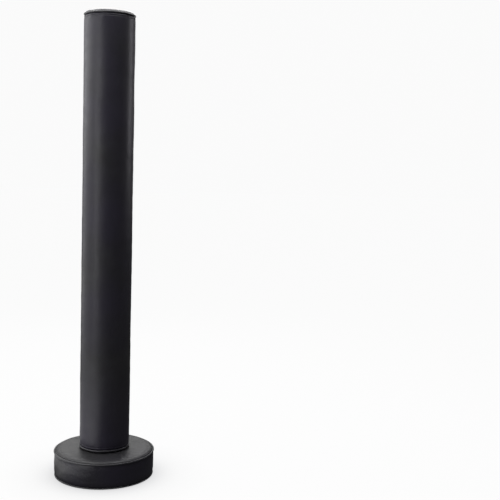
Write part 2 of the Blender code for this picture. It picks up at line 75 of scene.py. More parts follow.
# Sizes read from the frame
RING_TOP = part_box("ring_a_top_panel")[1].z
RING_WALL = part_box("ring_a_side_panel")[1].x
FLAP_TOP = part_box("ring_flap_inner_end")[1].z
FLAP_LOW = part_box("ring_flap_inner_end")[0].z
COLUMN_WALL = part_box("column_a_side_panel")[1].x
COLUMN_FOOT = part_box("column_a_bottom_cap")[0].z
COLUMN_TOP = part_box("column_a_top_cap")[1].z

# Pads
RING_BORE = 0.090
COLUMN_BORE = 0.0385
HALF_SLIT = 0.00015
RING_SLIT = radians(105)
COLUMN_SLIT = radians(60)
FOAM_COLUMNS = 120
FOAM_END_GAP = 0.004

# Piping
RING_PIPING = 0.0038
RING_PIPING_RADIUS = 0.2090
RING_PIPING_HEIGHT = RING_TOP - 0.0134
RING_FOOT_PIPING = 0.0030
RING_FOOT_PIPING_RADIUS = 0.2066
RING_FOOT_PIPING_HEIGHT = 0.0051
COLUMN_PIPING = 0.0036
COLUMN_PIPING_RADIUS = 0.1028
COLUMN_TOP_PIPING = COLUMN_TOP - 0.0146
COLUMN_FOOT_PIPING = COLUMN_FOOT + 0.0090
PIPING_SIDES = 18
PIPING_PUCKER = 0.00040

# Skins
SKIN = 0.0012
LINING = 0.0008
SIM_SPACING = 0.0042
SWELL_FRAMES = 20
SWELL_PRESSURE = 4.0
SWELL_SIDEWAYS = 0.5
CURVE_STEPS = 24

# Valley under the ring's top flap
VALLEY_DEPTH = 0.0045
VALLEY_FLOOR = radians(22.5)
VALLEY_RISE = radians(15)
PILLOW = 0.017
UNDER_FLAP_GAP = 0.0004

# Flaps
TOP_FLAP_START = 0.112
TOP_FLAP_END_START = 0.091
TOP_FLAP_BEND_START = 0.150
RING_FLAP_BEHIND = radians(3.75)
RING_FLAP_AHEAD = radians(11.25)
RING_FLAP_TURN = RING_FLAP_BEHIND + RING_FLAP_AHEAD
RING_FLAP_SEAM = RING_SLIT - RING_FLAP_BEHIND
RING_FLAP_RADIUS = 0.2132
RING_FLAP_FOOT = 0.0095
SIDE_FLAP_TOP = 0.1064
SIDE_FLAP = 0.0017
COLUMN_FLAP = 0.0018
COLUMN_FLAP_RADIUS = 0.1082
COLUMN_FLAP_SEAM_RADIUS = 0.1054
COLUMN_FLAP_TURN = radians(30)
COLUMN_FLAP_SEAM = COLUMN_SLIT - radians(7.5)
COLUMN_FLAP_LOW = COLUMN_FOOT + 0.026
COLUMN_FLAP_HIGH = COLUMN_FOOT + 1.796
FLAP_HEM = 0.0035
FLAP_BEND = 0.013

# Hook and loop tapes
TAPE_GAP = 0.0003
RING_TAPE = 0.0009
RING_SIDE_HOOK_TAPE = 0.0013
COLUMN_TAPE = 0.0010
TAPE_SOFT_EDGE = 0.00025
LOOP_PROUD = 0.0013
SIDE_LOOP_PROUD = 0.0012

# Backdrop
PAPER = (0.96, 0.96, 0.96)
FLOOR_HALF = 40.0
FLOOR_LINES = 13
FLOOR_DROP = 0.0002

# Thread
STITCH = 0.0034
STITCH_PITCH = 0.0046
THREAD = 0.00034
STITCH_LIFT = 0.00012
THREAD_FLATNESS = 0.7
HOLE_STITCHING = 0.0135
COLUMN_STITCHING = 0.0125
TINY = 1e-12


# Small tools

def ease(value):
    """A smooth step from 0 to 1."""
    value = np.clip(value, 0, 1)
    return value * value * (3 - 2 * value)


def bell(distance, width):
    return np.exp(-(distance / width) ** 2)


def unit(vectors):
    return vectors / np.maximum(np.linalg.norm(vectors, axis=-1, keepdims=True), TINY)


def waves(points, scale, shift=0.0):
    """Smooth noise from -1 to 1 at each point of a grid."""
    flat = (points * np.asarray(scale, float)).reshape(-1, 3) + shift
    return np.array([noise.noise(Vector(point)) for point in flat]).reshape(points.shape[:-1])


def smooth_path(points, spacing):
    """Points at an even spacing on a smooth curve through a few points."""
    points = np.array(points, float)
    runs = np.diff(points, axis=0)
    lengths = np.linalg.norm(runs, axis=1)[:, None]
    slopes = runs / lengths
    inner = (runs[:-1] + runs[1:]) / (lengths[:-1] + lengths[1:])
    tangents = np.vstack([slopes[:1], inner, slopes[-1:]])
    t = np.linspace(0, 1, CURVE_STEPS, endpoint=False)[:, None]
    fine = [
        near * (2 * t ** 3 - 3 * t ** 2 + 1) + leave * length * (t ** 3 - 2 * t ** 2 + t)
        + far * (3 * t ** 2 - 2 * t ** 3) + arrive * length * (t ** 3 - t ** 2)
        for near, far, leave, arrive, length in zip(points, points[1:], tangents, tangents[1:], lengths)
    ]
    fine = np.vstack(fine + [points[-1:]])
    travelled = run_lengths(fine)
    count = max(ceil(travelled[-1] / spacing), 2)
    return at_lengths(fine, np.linspace(0, travelled[-1], count + 1))


def run_lengths(points):
    steps = np.linalg.norm(np.diff(points, axis=0), axis=1)
    return np.concatenate([[0], np.cumsum(steps)])


def at_lengths(points, places, travelled=None):
    """Points of a line at given distances along it."""
    travelled = run_lengths(points) if travelled is None else travelled
    return np.column_stack([np.interp(places, travelled, points[:, k]) for k in range(points.shape[1])])


# Grids

def stacked(x, y, z):
    """Points from three coordinates that broadcast together."""
    return np.stack(np.broadcast_arrays(x, y, z), axis=-1).astype(float)


def round_pole(radius, angles, height):
    return stacked(radius * np.cos(angles), radius * np.sin(angles), height)


def sweep(profile, angles):
    return round_pole(profile[:, 0:1], angles, profile[:, 1:2])


def from_corner(radius, height, *steps):
    """Places of a section, from steps out and up from one of its corners."""
    return [(radius + out, height + up) for out, up in steps]


def between(grid, places):
    """Rows at fractional places, on smooth curves through a grid's points."""
    places = np.asarray(places, float)
    base = np.clip(np.floor(places).astype(int), 0, len(grid) - 2)
    t = (places - base).reshape((-1,) + (1,) * (grid.ndim - 1))
    p0, p1, p2, p3 = (grid[np.clip(base + k, 0, len(grid) - 1)] for k in (-1, 0, 1, 2))
    return 0.5 * (
        2 * p1
        + (p2 - p0) * t
        + (2 * p0 - 5 * p1 + 4 * p2 - p3) * t ** 2
        + (3 * p1 - p0 - 3 * p2 + p3) * t ** 3
    )


def finer_columns(grid):
    """A grid with one more column between each two."""
    turned = np.swapaxes(grid, 0, 1)
    places = np.linspace(0, len(turned) - 1, 2 * len(turned) - 1)
    return np.swapaxes(between(turned, places), 0, 1)


def row_places(count, lines=()):
    """A row place at each half row, and closer ones beside each stitched line."""
    beside = np.linspace(-0.9, 0.9, 13)
    places = np.concatenate([np.arange(0, count - 1, 0.5), [count - 1], *[line + beside for line in lines]])
    places = np.unique(np.round(np.clip(places, 0, count - 1), 3))
    return places[np.concatenate([[True], np.diff(places) > 0.03])]


def normals_of(grid):
    return unit(np.cross(np.gradient(grid, axis=0), np.gradient(grid, axis=1)))


def raised(grid, height):
    """A grid moved along its normals, out for a positive height."""
    return grid + normals_of(grid) * np.asarray(height)[..., None]


# Meshes

def keep_rest_places(mesh):
    """Store where each point lies at rest, which every material reads."""
    places = np.zeros(len(mesh.vertices) * 3, np.float32)
    mesh.vertices.foreach_get("co", places)
    stored = mesh.attributes.new("rest_place", "FLOAT_VECTOR", "POINT")
    stored.data.foreach_set("vector", places)


def new_mesh(name, points, faces):
    mesh = bpy.data.meshes.new(name)
    mesh.from_pydata(points.reshape(-1, 3).tolist(), [], faces)
    mesh.shade_smooth()
    return mesh


def linked(name, data):
    """A new object, linked to the scene."""
    item = bpy.data.objects.new(name, data)
    bpy.context.scene.collection.objects.link(item)
    return item


def new_object(name, mesh, *materials):
    mesh.name = name
    item = linked(name, mesh)
    for material in materials:
        mesh.materials.append(material)
    keep_rest_places(mesh)
    return item


def numbered(rows, columns):
    """The point numbers of a grid."""
    return np.arange(rows * columns).reshape(rows, columns)


def quads(index, closed=False):
    """The quads of a grid of point numbers, facing the side that its normals face."""
    if closed:
        index = np.concatenate([index, index[:, :1]], axis=1)
    corners = (index[:-1, :-1], index[1:, :-1], index[1:, 1:], index[:-1, 1:])
    return np.stack([corner.ravel() for corner in corners], axis=1)


def border(index):
    """The point numbers round the edge of a grid, in order."""
    return np.concatenate([index[:, 0], index[-1, 1:], index[-2::-1, -1], index[0, -2:0:-1]])


def ways_out(grid, edges):
    """For each point on the named edges of a grid, the way off the grid along its surface."""
    out = np.zeros_like(grid)
    for first, last, lines, ways in (
        ("start", "end", grid, out),
        ("near", "far", np.swapaxes(grid, 0, 1), np.swapaxes(out, 0, 1)),
    ):
        if first in edges:
            ways[0] += unit(lines[0] - lines[1])
        if last in edges:
            ways[-1] += unit(lines[-1] - lines[-2])
    return out


def keep_edges_crisp(mesh, points):
    """Keep the shading apart on the two sides of each edge between the given points."""
    chosen = np.zeros(len(mesh.vertices), bool)
    chosen[points] = True
    ends = np.zeros(len(mesh.edges) * 2, np.int32)
    mesh.edges.foreach_get("vertices", ends)
    crisp = mesh.attributes.new("sharp_edge", "BOOLEAN", "EDGE")
    crisp.data.foreach_set("value", chosen[ends].reshape(-1, 2).all(axis=1))


Band = namedtuple("Band", "depth spread look")


def skin_mesh(outer, normals, thickness, bands=(), layered=()):
    """A closed skin under an outer grid. bands are the layers seen at its layered edges."""
    rows, columns = outer.shape[:2]
    count = rows * columns
    index = numbered(rows, columns)
    edge = border(index)
    out = ways_out(outer, layered).reshape(-1, 3)
    outer, normals = outer.reshape(-1, 3), normals.reshape(-1, 3)
    bands = bands or (Band(thickness, 0, 0),)
    points = [outer, outer - normals * thickness + out * bands[-1].spread]
    loops = [edge]
    for place, band in enumerate(bands[:-1]):
        points.append(outer[edge] - normals[edge] * band.depth + out[edge] * band.spread)
        loops.append(2 * count + place * len(edge) + np.arange(len(edge)))
    loops.append(edge + count)
    faces = [quads(index), quads(index)[:, ::-1] + count]
    looks = [np.zeros(len(faces[0])), np.full(len(faces[1]), bands[-1].look)]
    for high, low, band in zip(loops[:-1], loops[1:], bands):
        faces.append(np.stack([low, np.roll(low, 1), np.roll(high, 1), high], axis=1))
        looks.append(np.full(len(high), band.look))
    points, faces = np.vstack(points), np.vstack(faces)
    mesh = new_mesh("skin", points, faces.tolist())
    mesh.polygons.foreach_set("material_index", np.concatenate(looks).astype(np.int32))
    keep_edges_crisp(mesh, np.concatenate([edge, edge + count]))
    across = points[faces[:, 2]] - points[faces[:, 0]]
    corner = unit(np.cross(across, points[faces[:, 3]] - points[faces[:, 1]]))
    corner = np.repeat(corner[:, None], 4, axis=1)
    broad = (rows - 1) * (columns - 1)
    corner[:broad] = normals[faces[:broad]]
    corner[broad:2 * broad] = -normals[faces[broad:2 * broad] - count]
    mesh.normals_split_custom_set(corner.reshape(-1, 3).tolist())
    return mesh


def outward_rings(rings):
    """Rings of a tube, turned so that their faces look outward, and their normals."""
    spokes = rings - rings.mean(1, keepdims=True)
    facing = np.cross(np.gradient(rings, axis=0), np.roll(rings, -1, 1) - np.roll(rings, 1, 1))
    if (facing * spokes).sum() < 0:
        rings, facing = rings[:, ::-1], -facing[:, ::-1]
    return rings, unit(facing)


def tube_mesh(rings, normals):
    """A tube through rings of points, closed at both ends. rings has a ring in each row."""
    index = numbered(*rings.shape[:2])
    wall = quads(index, closed=True)
    mesh = new_mesh("tube", rings, wall.tolist() + [index[0].tolist(), index[-1, ::-1].tolist()])
    keep_edges_crisp(mesh, np.concatenate([index[0], index[-1]]))
    corner = [normals.reshape(-1, 3)[wall].reshape(-1, 3)]
    for last, inner in ((0, 1), (-1, -2)):
        along = unit(rings[last].mean(0) - rings[inner].mean(0))
        corner.append(np.repeat(along[None], rings.shape[1], axis=0))
    mesh.normals_split_custom_set(np.vstack(corner).tolist())
    return mesh


# Pads and how their pieces ride

Pad = namedtuple("Pad", "name fixed swing slit free_turn wall columns start end")


def make_pad(name, slit, free_turn, wall, columns, ahead, behind):
    """A pad with a slit, whose free end reaches free_turn round from it.

    Its start and end lie ahead of the fold and behind it, along the wall.
    """
    place = Vector(joints[f"{name}_opening"]["pos_m"][:2]).normalized()
    tangent = Vector((-place.y, place.x, 0))
    return Pad(
        name, f"{name}_fixed", f"{name}_swing", slit, free_turn, wall, columns,
        tangent * ahead, tangent * -behind,
    )


joints = {joint["name"]: joint for joint in frame["joints"]}
RING = make_pad("ring", RING_SLIT, radians(84), RING_WALL, columns=240, ahead=0.020, behind=0.080)
COLUMN = make_pad("column", COLUMN_SLIT, radians(144), COLUMN_WALL, columns=160, ahead=0.012, behind=0.034)


def pad_angles(pad, columns):
    """Azimuths from one end of a pad, at its slit, round to the other."""
    margin = HALF_SLIT / pad.wall
    angles = pad.slit + np.linspace(0, 2 * pi, columns + 1)
    angles[0] += margin
    angles[-1] -= margin
    return angles


def swept(pad, profile):
    return sweep(profile, pad_angles(pad, pad.columns))


def add_halves(pad, part, mesh_of, count, material, replaced=True):
    """A piece round a pad, in two lengths that meet where the pad's free end reaches, free_turn round from
    the slit.

    mesh_of makes the mesh of a slice of its stations. The near length stays in place,
    and the far one rides the swinging half.
    """
    cut = round(pad.free_turn / (2 * pi) * (count - 1))
    name = f"{pad.name}_{part}"
    near = new_object(name, mesh_of(slice(cut, None)), material)
    far = new_object(f"{name}_free_end", mesh_of(slice(cut + 1)), material)
    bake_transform(near)
    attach(far, pad.swing)
    if replaced:
        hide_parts(*[f"{pad.name}_{side}_{part}" for side in "ab"])


def add_skin(pad, part, grid, thickness, material):
    normals = normals_of(grid)

    def mesh_of(run):
        return skin_mesh(grid[:, run], normals[:, run], thickness)

    add_halves(pad, part, mesh_of, grid.shape[1], material)


def add_tube(pad, part, rings, material):
    rings, normals = outward_rings(rings)

    def mesh_of(run):
        return tube_mesh(rings[run], normals[run])

    add_halves(pad, part, mesh_of, len(rings), material)


Seam = namedtuple("Seam", "fixed swing start end")


def seam_of(name, angle):
    """A flap's seam on the axis of its joint, running a short way ahead of it."""
    joint = joints[name]
    place = Vector(joint["pos_m"])
    ahead = Vector((-sin(angle), cos(angle), 0))
    return Seam(joint["parent"], joint["child"], place, place + ahead * FLAP_BEND)


def add_piece(name, mesh, carrier, slot, *materials, replaced=None):
    """A piece that rides a body, or stays in place at a seam."""
    item = new_object(name, mesh, *materials)
    if isinstance(carrier, Seam):
        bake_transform(item)
    else:
        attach(item, carrier)
    if replaced:
        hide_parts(replaced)
    return item


# Thread

def stitches(line, normals):
    """The ends and normals of stitches along a line on a surface."""
    travelled = run_lengths(line)
    count = max(int((travelled[-1] - STITCH) / STITCH_PITCH), 1)
    spare = travelled[-1] - count * STITCH_PITCH
    begin = spare / 2 + np.arange(count) * STITCH_PITCH + (STITCH_PITCH - STITCH) / 2
    up = unit(at_lengths(normals, begin + STITCH / 2, travelled))
    near, far = (at_lengths(line, places, travelled) + up * STITCH_LIFT for places in (begin, begin + STITCH))
    return near, far, up


def thread_mesh(near, far, up):
    """Short rounded runs of thread, each dipping into the surface at its ends."""
    shares = np.array([0, 0.12, 0.5, 0.88, 1])
    lifts = np.array([-0.00040, 0.00004, 0.00020, 0.00004, -0.00040])
    widths = np.array([0.55, 0.95, 1.0, 0.95, 0.55]) * THREAD
    turns = np.linspace(0, 2 * pi, 6, endpoint=False)
    along = far - near
    side = unit(np.cross(up, along))
    centre = near[:, None] + along[:, None] * shares[:, None] + up[:, None] * lifts[:, None]
    spokes = (
        side[:, None, None] * (widths[:, None] * np.cos(turns))[..., None]
        + up[:, None, None] * (THREAD_FLATNESS * widths[:, None] * np.sin(turns))[..., None]
    )
    points = centre[:, :, None] + spokes
    count, stations, sides = points.shape[:3]
    index = numbered(stations, sides)
    starts = np.arange(count)[:, None, None] * stations * sides
    faces = (quads(index, closed=True) + starts).reshape(-1, 4).tolist()
    for cap in (index[0], index[-1, ::-1]):
        faces += (cap[None] + starts[:, 0]).tolist()
    return new_mesh("thread", points, faces)


def add_pad_thread(pad, part, line, normals, material):
    """A stitched line round a pad, in the same two lengths as its skin."""

    def mesh_of(run):
        return thread_mesh(*stitches(line[run], normals[run]))

    add_halves(pad, part, mesh_of, len(line), material, replaced=False)


# Swelling

def swell(grid, free, low, high, excess=0.0):
    """Let a skin swell as cloth, held where free is 0, and keep each point within low and high."""
    mesh = new_mesh("cloth", grid, quads(numbered(*grid.shape[:2])).tolist())
    item = linked("cloth", mesh)
    scene = bpy.context.scene
    held = item.vertex_groups.new(name="held")
    for index, loose in enumerate(free.ravel()):
        if loose < 1:
            held.add([index], float(1 - loose), "REPLACE")
    cloth = item.modifiers.new("cloth", "CLOTH")
    settings = cloth.settings
    for kind, stiffness, damping in (
        ("tension", 15, 8), ("compression", 15, 8), ("shear", 8, 8), ("bending", 1.5, 1),
    ):
        setattr(settings, f"{kind}_stiffness", stiffness)
        setattr(settings, f"{kind}_damping", damping)
    settings.quality = 5
    settings.mass = 0.02
    settings.air_damping = 2
    settings.use_pressure = True
    settings.uniform_pressure_force = SWELL_PRESSURE
    settings.vertex_group_mass = "held"
    settings.shrink_min = -excess
    settings.shrink_max = -excess
    settings.effector_weights.gravity = 0
    cloth.collision_settings.use_collision = False
    cloth.point_cache.frame_start = 1
    cloth.point_cache.frame_end = SWELL_FRAMES
    for frame_number in range(1, SWELL_FRAMES + 1):
        scene.frame_set(frame_number)
    swollen = item.evaluated_get(bpy.context.evaluated_depsgraph_get())
    moved = np.zeros(grid.size, np.float32)
    swollen.to_mesh().vertices.foreach_get("co", moved)
    swollen.to_mesh_clear()
    bpy.data.objects.remove(item, do_unlink=True)
    scene.frame_set(1)
    move = moved.reshape(grid.shape).astype(float) - grid
    normals = normals_of(grid)
    out = (move * normals).sum(-1)
    along = move - normals * out[..., None]
    return grid + along * SWELL_SIDEWAYS + normals * np.clip(out, low, high)[..., None]


# The ring

def slit_frame(angle):
    """Out along a slit, ahead over half b, and up."""
    return np.array([[cos(angle), sin(angle), 0], [-sin(angle), cos(angle), 0], [0, 0, 1]])


def to_world(points, angle):
    return points @ slit_frame(angle)


def ahead_of_slit(points, pad):
    """The radius, the angle ahead of a pad's slit and the distance ahead of it."""
    local = points @ slit_frame(pad.slit).T
    out, ahead = local[..., 0], local[..., 1]
    return np.hypot(out, ahead), np.arctan2(ahead, out), ahead


def beside_flap(grid, pad, ahead, behind, fade):
    """0 from behind a slit to ahead of it, where its flap lies, and 1 past a fade. All in degrees."""
    angle = ahead_of_slit(grid, pad)[1]
    return ease((angle - radians(ahead)) / radians(fade)) + ease((-angle - radians(behind)) / radians(fade))


def inside_rims(radius):
    """1 on the flat part of the ring's top, and 0 at its two rims."""
    return ease((radius - RING_BORE - 0.0018) / 0.007) * ease((RING_WALL - 0.0045 - radius) / 0.011)


def on_half_a(grid):
    """Which columns of a ring's grid lie on half a, past the fold."""
    columns = grid.shape[1]
    fold = joints["ring_opening"]["pos_m"]
    fold_share = (atan2(fold[1], fold[0]) - RING_SLIT) / (2 * pi) % 1
    return np.arange(columns) > fold_share * (columns - 1)


def valley(grid):
    """How far the ring's top is pressed down under its flap."""
    radius, angle, ahead = ahead_of_slit(grid, RING)
    flap_edge = RING_FLAP_RADIUS * sin(RING_FLAP_BEHIND)
    behind = -ahead - flap_edge
    seam_depth = RING_TOP - FLAP_LOW + UNDER_FLAP_GAP
    pillow = 1 - np.sqrt(1 - (1 - np.clip(behind / PILLOW, 0, 1)) ** 2)
    to_floor = ease(1 + np.minimum(ahead, 0) / flap_edge)
    side_a = seam_depth * pillow + (VALLEY_DEPTH - seam_depth) * to_floor
    side_b = VALLEY_DEPTH * ease((VALLEY_FLOOR + VALLEY_RISE - angle) / VALLEY_RISE)
    near_slit = np.abs(angle) < radians(60)
    return np.where(on_half_a(grid), side_a, side_b) * inside_rims(radius) * near_slit


def radial_wrinkles(grid):
    """Soft wrinkles that run out from the hole over a part of the ring's top."""
    angle = np.arctan2(grid[..., 1], grid[..., 0])
    radius = np.hypot(grid[..., 0], grid[..., 1])
    height = np.zeros(angle.shape)
    for place, depth, width, inner, outer in (
        (13, 0.0007, 0.0050, 0.105, 0.185),
        (22, 0.0010, 0.0060, 0.110, 0.200),
        (30, 0.0006, 0.0040, 0.120, 0.195),
        (41, 0.0009, 0.0070, 0.108, 0.190),
        (207, 0.0005, 0.0060, 0.120, 0.195),
        (247, 0.0005, 0.0070, 0.115, 0.190),
        (323, 0.0006, 0.0060, 0.112, 0.188),
    ):
        bend = radians(place) + 0.03 * np.sin(radius * 60 + place)
        aside = (np.mod(angle - bend + pi, 2 * pi) - pi) * radius
        reach = ease((radius - inner) / 0.02) * ease((outer - radius) / 0.02)
        height -= depth * bell(aside, width) * reach
    return height


def pillow_ridge(grid):
    """The top swells a little where it is pulled down to the sewn edge of the flap."""
    radius, _, ahead = ahead_of_slit(grid, RING)
    behind = -ahead - RING_FLAP_RADIUS * sin(RING_FLAP_BEHIND)
    reach = ease((radius - 0.110) / 0.012) * ease((0.205 - radius) / 0.018) * (np.abs(ahead) < 0.1)
    crease = 0.4 * bell(behind - 0.030 - 0.1 * (radius - 0.15), 0.0035)
    uneven = 1 + 0.5 * waves(grid, (34, 34, 0), 2.0)
    return 0.0012 * (bell(behind - 0.0135, 0.0065) * uneven - crease) * reach


def build_ring_top(look, thread):
    profile = smooth_path([
        *from_corner(
            RING_BORE, RING_TOP,
            (0, -0.0104), (0.0004, -0.0060), (0.0022, -0.0024), (0.0058, -0.0009), (0.0160, -0.0002),
        ),
        *from_corner(
            RING_WALL, RING_TOP,
            (-0.0628, -0.0002), (-0.0228, -0.0003), (-0.0118, -0.0022),
            (-0.0050, -0.0062), (-0.0030, -0.0095), (-0.0038, -0.0112),
        ),
    ], SIM_SPACING)
    reach = run_lengths(profile)
    grid = swept(RING, profile)
    drop = valley(grid)
    grid[..., 2] -= drop
    grid = raised(grid, 0.00020 * waves(grid, 18) * (drop < 0.0002))
    from_hole = reach[:, None]
    from_piping = reach[-1] - from_hole
    angle = ahead_of_slit(grid, RING)[1]
    beside_slit = ease((np.abs(angle) - radians(4)) / radians(6))
    free = ease((from_hole - 0.012) / 0.006) * ease((from_piping - 0.003) / 0.004)
    free = free * ease((0.0004 - drop) / 0.0004) * beside_slit
    grid = swell(grid, free, low=-0.0010, high=0.0004)

    rows = np.arange(len(reach))
    places = row_places(len(grid), [np.interp(HOLE_STITCHING, reach, rows)])
    fine = finer_columns(between(grid, places))
    from_hole = np.interp(places, rows, reach)[:, None]
    from_piping = from_hole[-1, 0] - from_hole
    outward = waves(fine, (30, 30, 30)) * bell(from_piping, 0.020) * 0.00015
    dent = -0.0007 * bell(from_hole - HOLE_STITCHING, 0.0012)
    drop = valley(fine)
    soft = 0.0009 * (waves(fine, 13, 5.0) - 0.35) * ease((from_hole - 0.018) / 0.02) * (drop < 0.0003)
    height = np.minimum(outward, 0.0004) + dent + np.minimum(soft, 0) + radial_wrinkles(fine)
    fine = raised(fine, height + pillow_ridge(fine))
    add_skin(RING, "top_panel", fine, SKIN, look)
    row = int(np.argmin(np.abs(from_hole[:, 0] - HOLE_STITCHING)))
    add_pad_thread(RING, "hole_stitching", fine[row], normals_of(fine)[row], thread)


def side_folds(grid):
    """Soft diagonal folds in the ring's side, fanning out beside its flap."""
    past_flap = (ahead_of_slit(grid, RING)[1] - RING_FLAP_AHEAD) * RING_WALL
    down = (RING_PIPING_HEIGHT - grid[..., 2]) / RING_PIPING_HEIGHT
    height = np.zeros(down.shape)
    for start, slope, depth, width in (
        (0.003, 0.016, 0.0016, 0.0048),
        (0.008, 0.040, 0.0026, 0.0062),
        (0.018, 0.068, 0.0022, 0.0075),
        (0.036, 0.088, 0.0012, 0.0095),
    ):
        aside = past_flap - start - slope * down
        height -= depth * bell(aside, width) * ease(down / 0.35)
        height += 0.5 * depth * bell(aside - 1.7 * width, width) * ease(down / 0.35)
    fade = ease((1 - down) / 0.12) * ease((past_flap + 0.002) / 0.006)
    return height * fade


def build_ring_side(look):
    profile = smooth_path([
        *from_corner(
            RING_WALL, RING_PIPING_HEIGHT, (-0.0032, -0.0034), (-0.0018, -0.0062), (-0.0006, -0.0126),
        ),
        (RING_WALL, RING_TOP / 2),
        *from_corner(
            RING_WALL, RING_FOOT_PIPING_HEIGHT, (-0.0008, 0.0170), (-0.0024, 0.0072), (-0.0046, 0.0032),
        ),
    ], SIM_SPACING)
    reach = run_lengths(profile)[:, None]
    grid = swept(RING, profile)
    clear_of_flap = beside_flap(grid, RING, ahead=12, behind=4, fade=5)
    grid = raised(grid, 0.0005 * waves(grid, 30, 3.0) * clear_of_flap)
    free = ease((reach - 0.003) / 0.004) * ease((reach[-1] - reach - 0.003) / 0.004) * clear_of_flap
    grid = swell(grid, free, low=-0.0014, high=0.0014, excess=0.004)
    fine = finer_columns(between(grid, row_places(len(grid))))
    up = fine[..., 2]
    clear_of_seams = ease((RING_PIPING_HEIGHT - up - 0.008) / 0.015) * ease((up - 0.014) / 0.015)
    ripples = 0.0007 * waves(fine, (7, 7, 46), 11.0) * clear_of_seams
    ripples = ripples * beside_flap(fine, RING, ahead=12, behind=4, fade=5)
    fine = raised(fine, side_folds(fine) + ripples)
    add_skin(RING, "side_panel", fine, SKIN, look)


def add_piping(pad, part, radius, height, thickness, columns, look, seed):
    """A welt of piping, puckered along its length."""
    angles = pad_angles(pad, columns)
    turns = -np.linspace(0, 2 * pi, PIPING_SIDES, endpoint=False)[:, None]
    outward = round_pole(1.0, angles, 0.0)
    centres = radius * outward + np.array([0, 0, height])
    spokes = np.cos(turns) * outward[:, None] + np.sin(turns) * np.array([0, 0, 1.0])
    rings = centres[:, None] + thickness * spokes
    along = stacked(angles * radius / thickness * 0.9, 0, 0)
    long_waves = waves(along, (0.35, 1, 1), seed)[:, None]
    pucker = waves(rings, (230, 230, 120), seed)
    wander = waves(rings.mean(1), 18, seed)
    rings = rings + spokes * (PIPING_PUCKER * (0.6 * pucker + 0.5 * long_waves))[..., None]
    rings[:, :, 2] += 0.0004 * wander[:, None]
    add_tube(pad, part, rings, look)


def build_ring_foot(look):
    foot = RING_FOOT_PIPING_HEIGHT
    profile = smooth_path([
        (RING_FOOT_PIPING_RADIUS - 0.0018, foot - 0.0024),
        *from_corner(RING_FOOT_PIPING_RADIUS, 0, (-0.0042, 0.0004), (-0.0090, 0)),
        *from_corner(RING_BORE, 0, (0.0070, 0), (0.0012, 0.0010), (0.0002, 0.0030)),
    ], 0.0045)
    grid = swept(RING, profile)
    inside = ease((grid[..., 0] ** 2 + grid[..., 1] ** 2) ** 0.5 / RING_WALL)
    grid[..., 2] += np.maximum(0.0012 * waves(grid, (22, 22, 0), 8.0), 0) * inside
    add_skin(RING, "bottom_panel", grid, SKIN, look)


def build_lining(pad, bore, low, high, look, spacing, crease, columns):
    """Woven lining, with soft upright creases and a slightly wavy lower edge."""
    profile = smooth_path([(bore, low), (bore, (low + high) / 2), (bore, high)], spacing)
    grid = sweep(profile, pad_angles(pad, columns))
    share = (grid[..., 2] - low) / (high - low)
    grid[..., 2] += 0.0016 * waves(grid, (60, 60, 0), 2.0) * ease(1 - share * 6)
    height = crease * (waves(grid, (70, 70, 4), 1.0) - 0.5) * ease(share * 14) * ease((1 - share) * 14)
    add_skin(pad, "lining", raised(grid, height), LINING, look)


# End panels

def patch(bottom, top, left, right):
    """A grid inside four lines that share their corners. Rows go up, columns go right."""
    u = np.linspace(0, 1, len(bottom))[:, None]
    v = np.linspace(0, 1, len(left))[:, None, None]
    across = left[:, None] * (1 - u) + right[:, None] * u
    upward = bottom * (1 - v) + top * v
    corners = (
        bottom[0] * (1 - u) * (1 - v) + bottom[-1] * u * (1 - v)
        + top[0] * (1 - u) * v + top[-1] * u * v
    )
    return across + upward - corners


def even(points, count):
    """Points at an even spacing along a line."""
    points = np.array(points, float)
    return at_lengths(points, np.linspace(0, run_lengths(points)[-1], count))


def add_end_panels(pad, section, look, rows, columns):
    """Flat, softly dented panels that close the foam on both sides of a slit.

    section holds the lines of the foam at the slit, as (out, up): bottom, top, bore and wall.
    """
    flat = patch(*[even(line, count) for line, count in zip(section, (columns, columns, rows, rows))])
    inner = 1
    for count, share in ((columns, np.linspace(0, 1, columns)), (rows, np.linspace(0, 1, rows)[:, None])):
        inner = inner * ease(np.minimum(share, 1 - share) * count / 3)
    for side, sign, body in (("a", -1, pad.fixed), ("b", 1, pad.swing)):
        local = stacked(flat[..., 0], 0, flat[..., 1])
        dent = 0.0007 * (1 + waves(local, (28, 1, 9), sign * 4.0)) * inner + 0.0006 * (1 - inner)
        local[..., 1] = sign * (HALF_SLIT + dent)
        world = to_world(local, pad.slit)[:, ::sign]
        mesh = skin_mesh(world, normals_of(world), SKIN)
        name = f"{pad.name}_{side}_end"
        add_piece(f"{name}_face", mesh, body, "black_lining", look, replaced=f"{name}_panel")


# Foam

def add_foam(pad, outline, look, pressed=False):
    """Foam inside a pad's skins. outline goes clockwise, and pressed sinks it under the ring's flap."""
    angles = pad_angles(pad, FOAM_COLUMNS)
    angles[0] += FOAM_END_GAP / pad.wall
    angles[-1] -= FOAM_END_GAP / pad.wall
    grid = sweep(np.array(outline, float), angles)
    if pressed:
        drop = valley(grid)
        grid[..., 2] -= (drop + 0.0008 * (drop > 0.0005)) * (grid[..., 2] > RING_TOP / 2)
    add_tube(pad, "foam", np.swapaxes(grid, 0, 1), look)


# Flaps

def across_places(width, edge=0.0026, step=0.0018):
    """Places across a flap, closer at its two edges."""
    near = edge * np.array([0, 0.12, 0.28, 0.5, 0.75, 1.0])
    middle = np.linspace(edge, width - edge, max(round((width - 2 * edge) / step), 2) + 1)[1:-1]
    return np.concatenate([near, middle, width - near[::-1]])


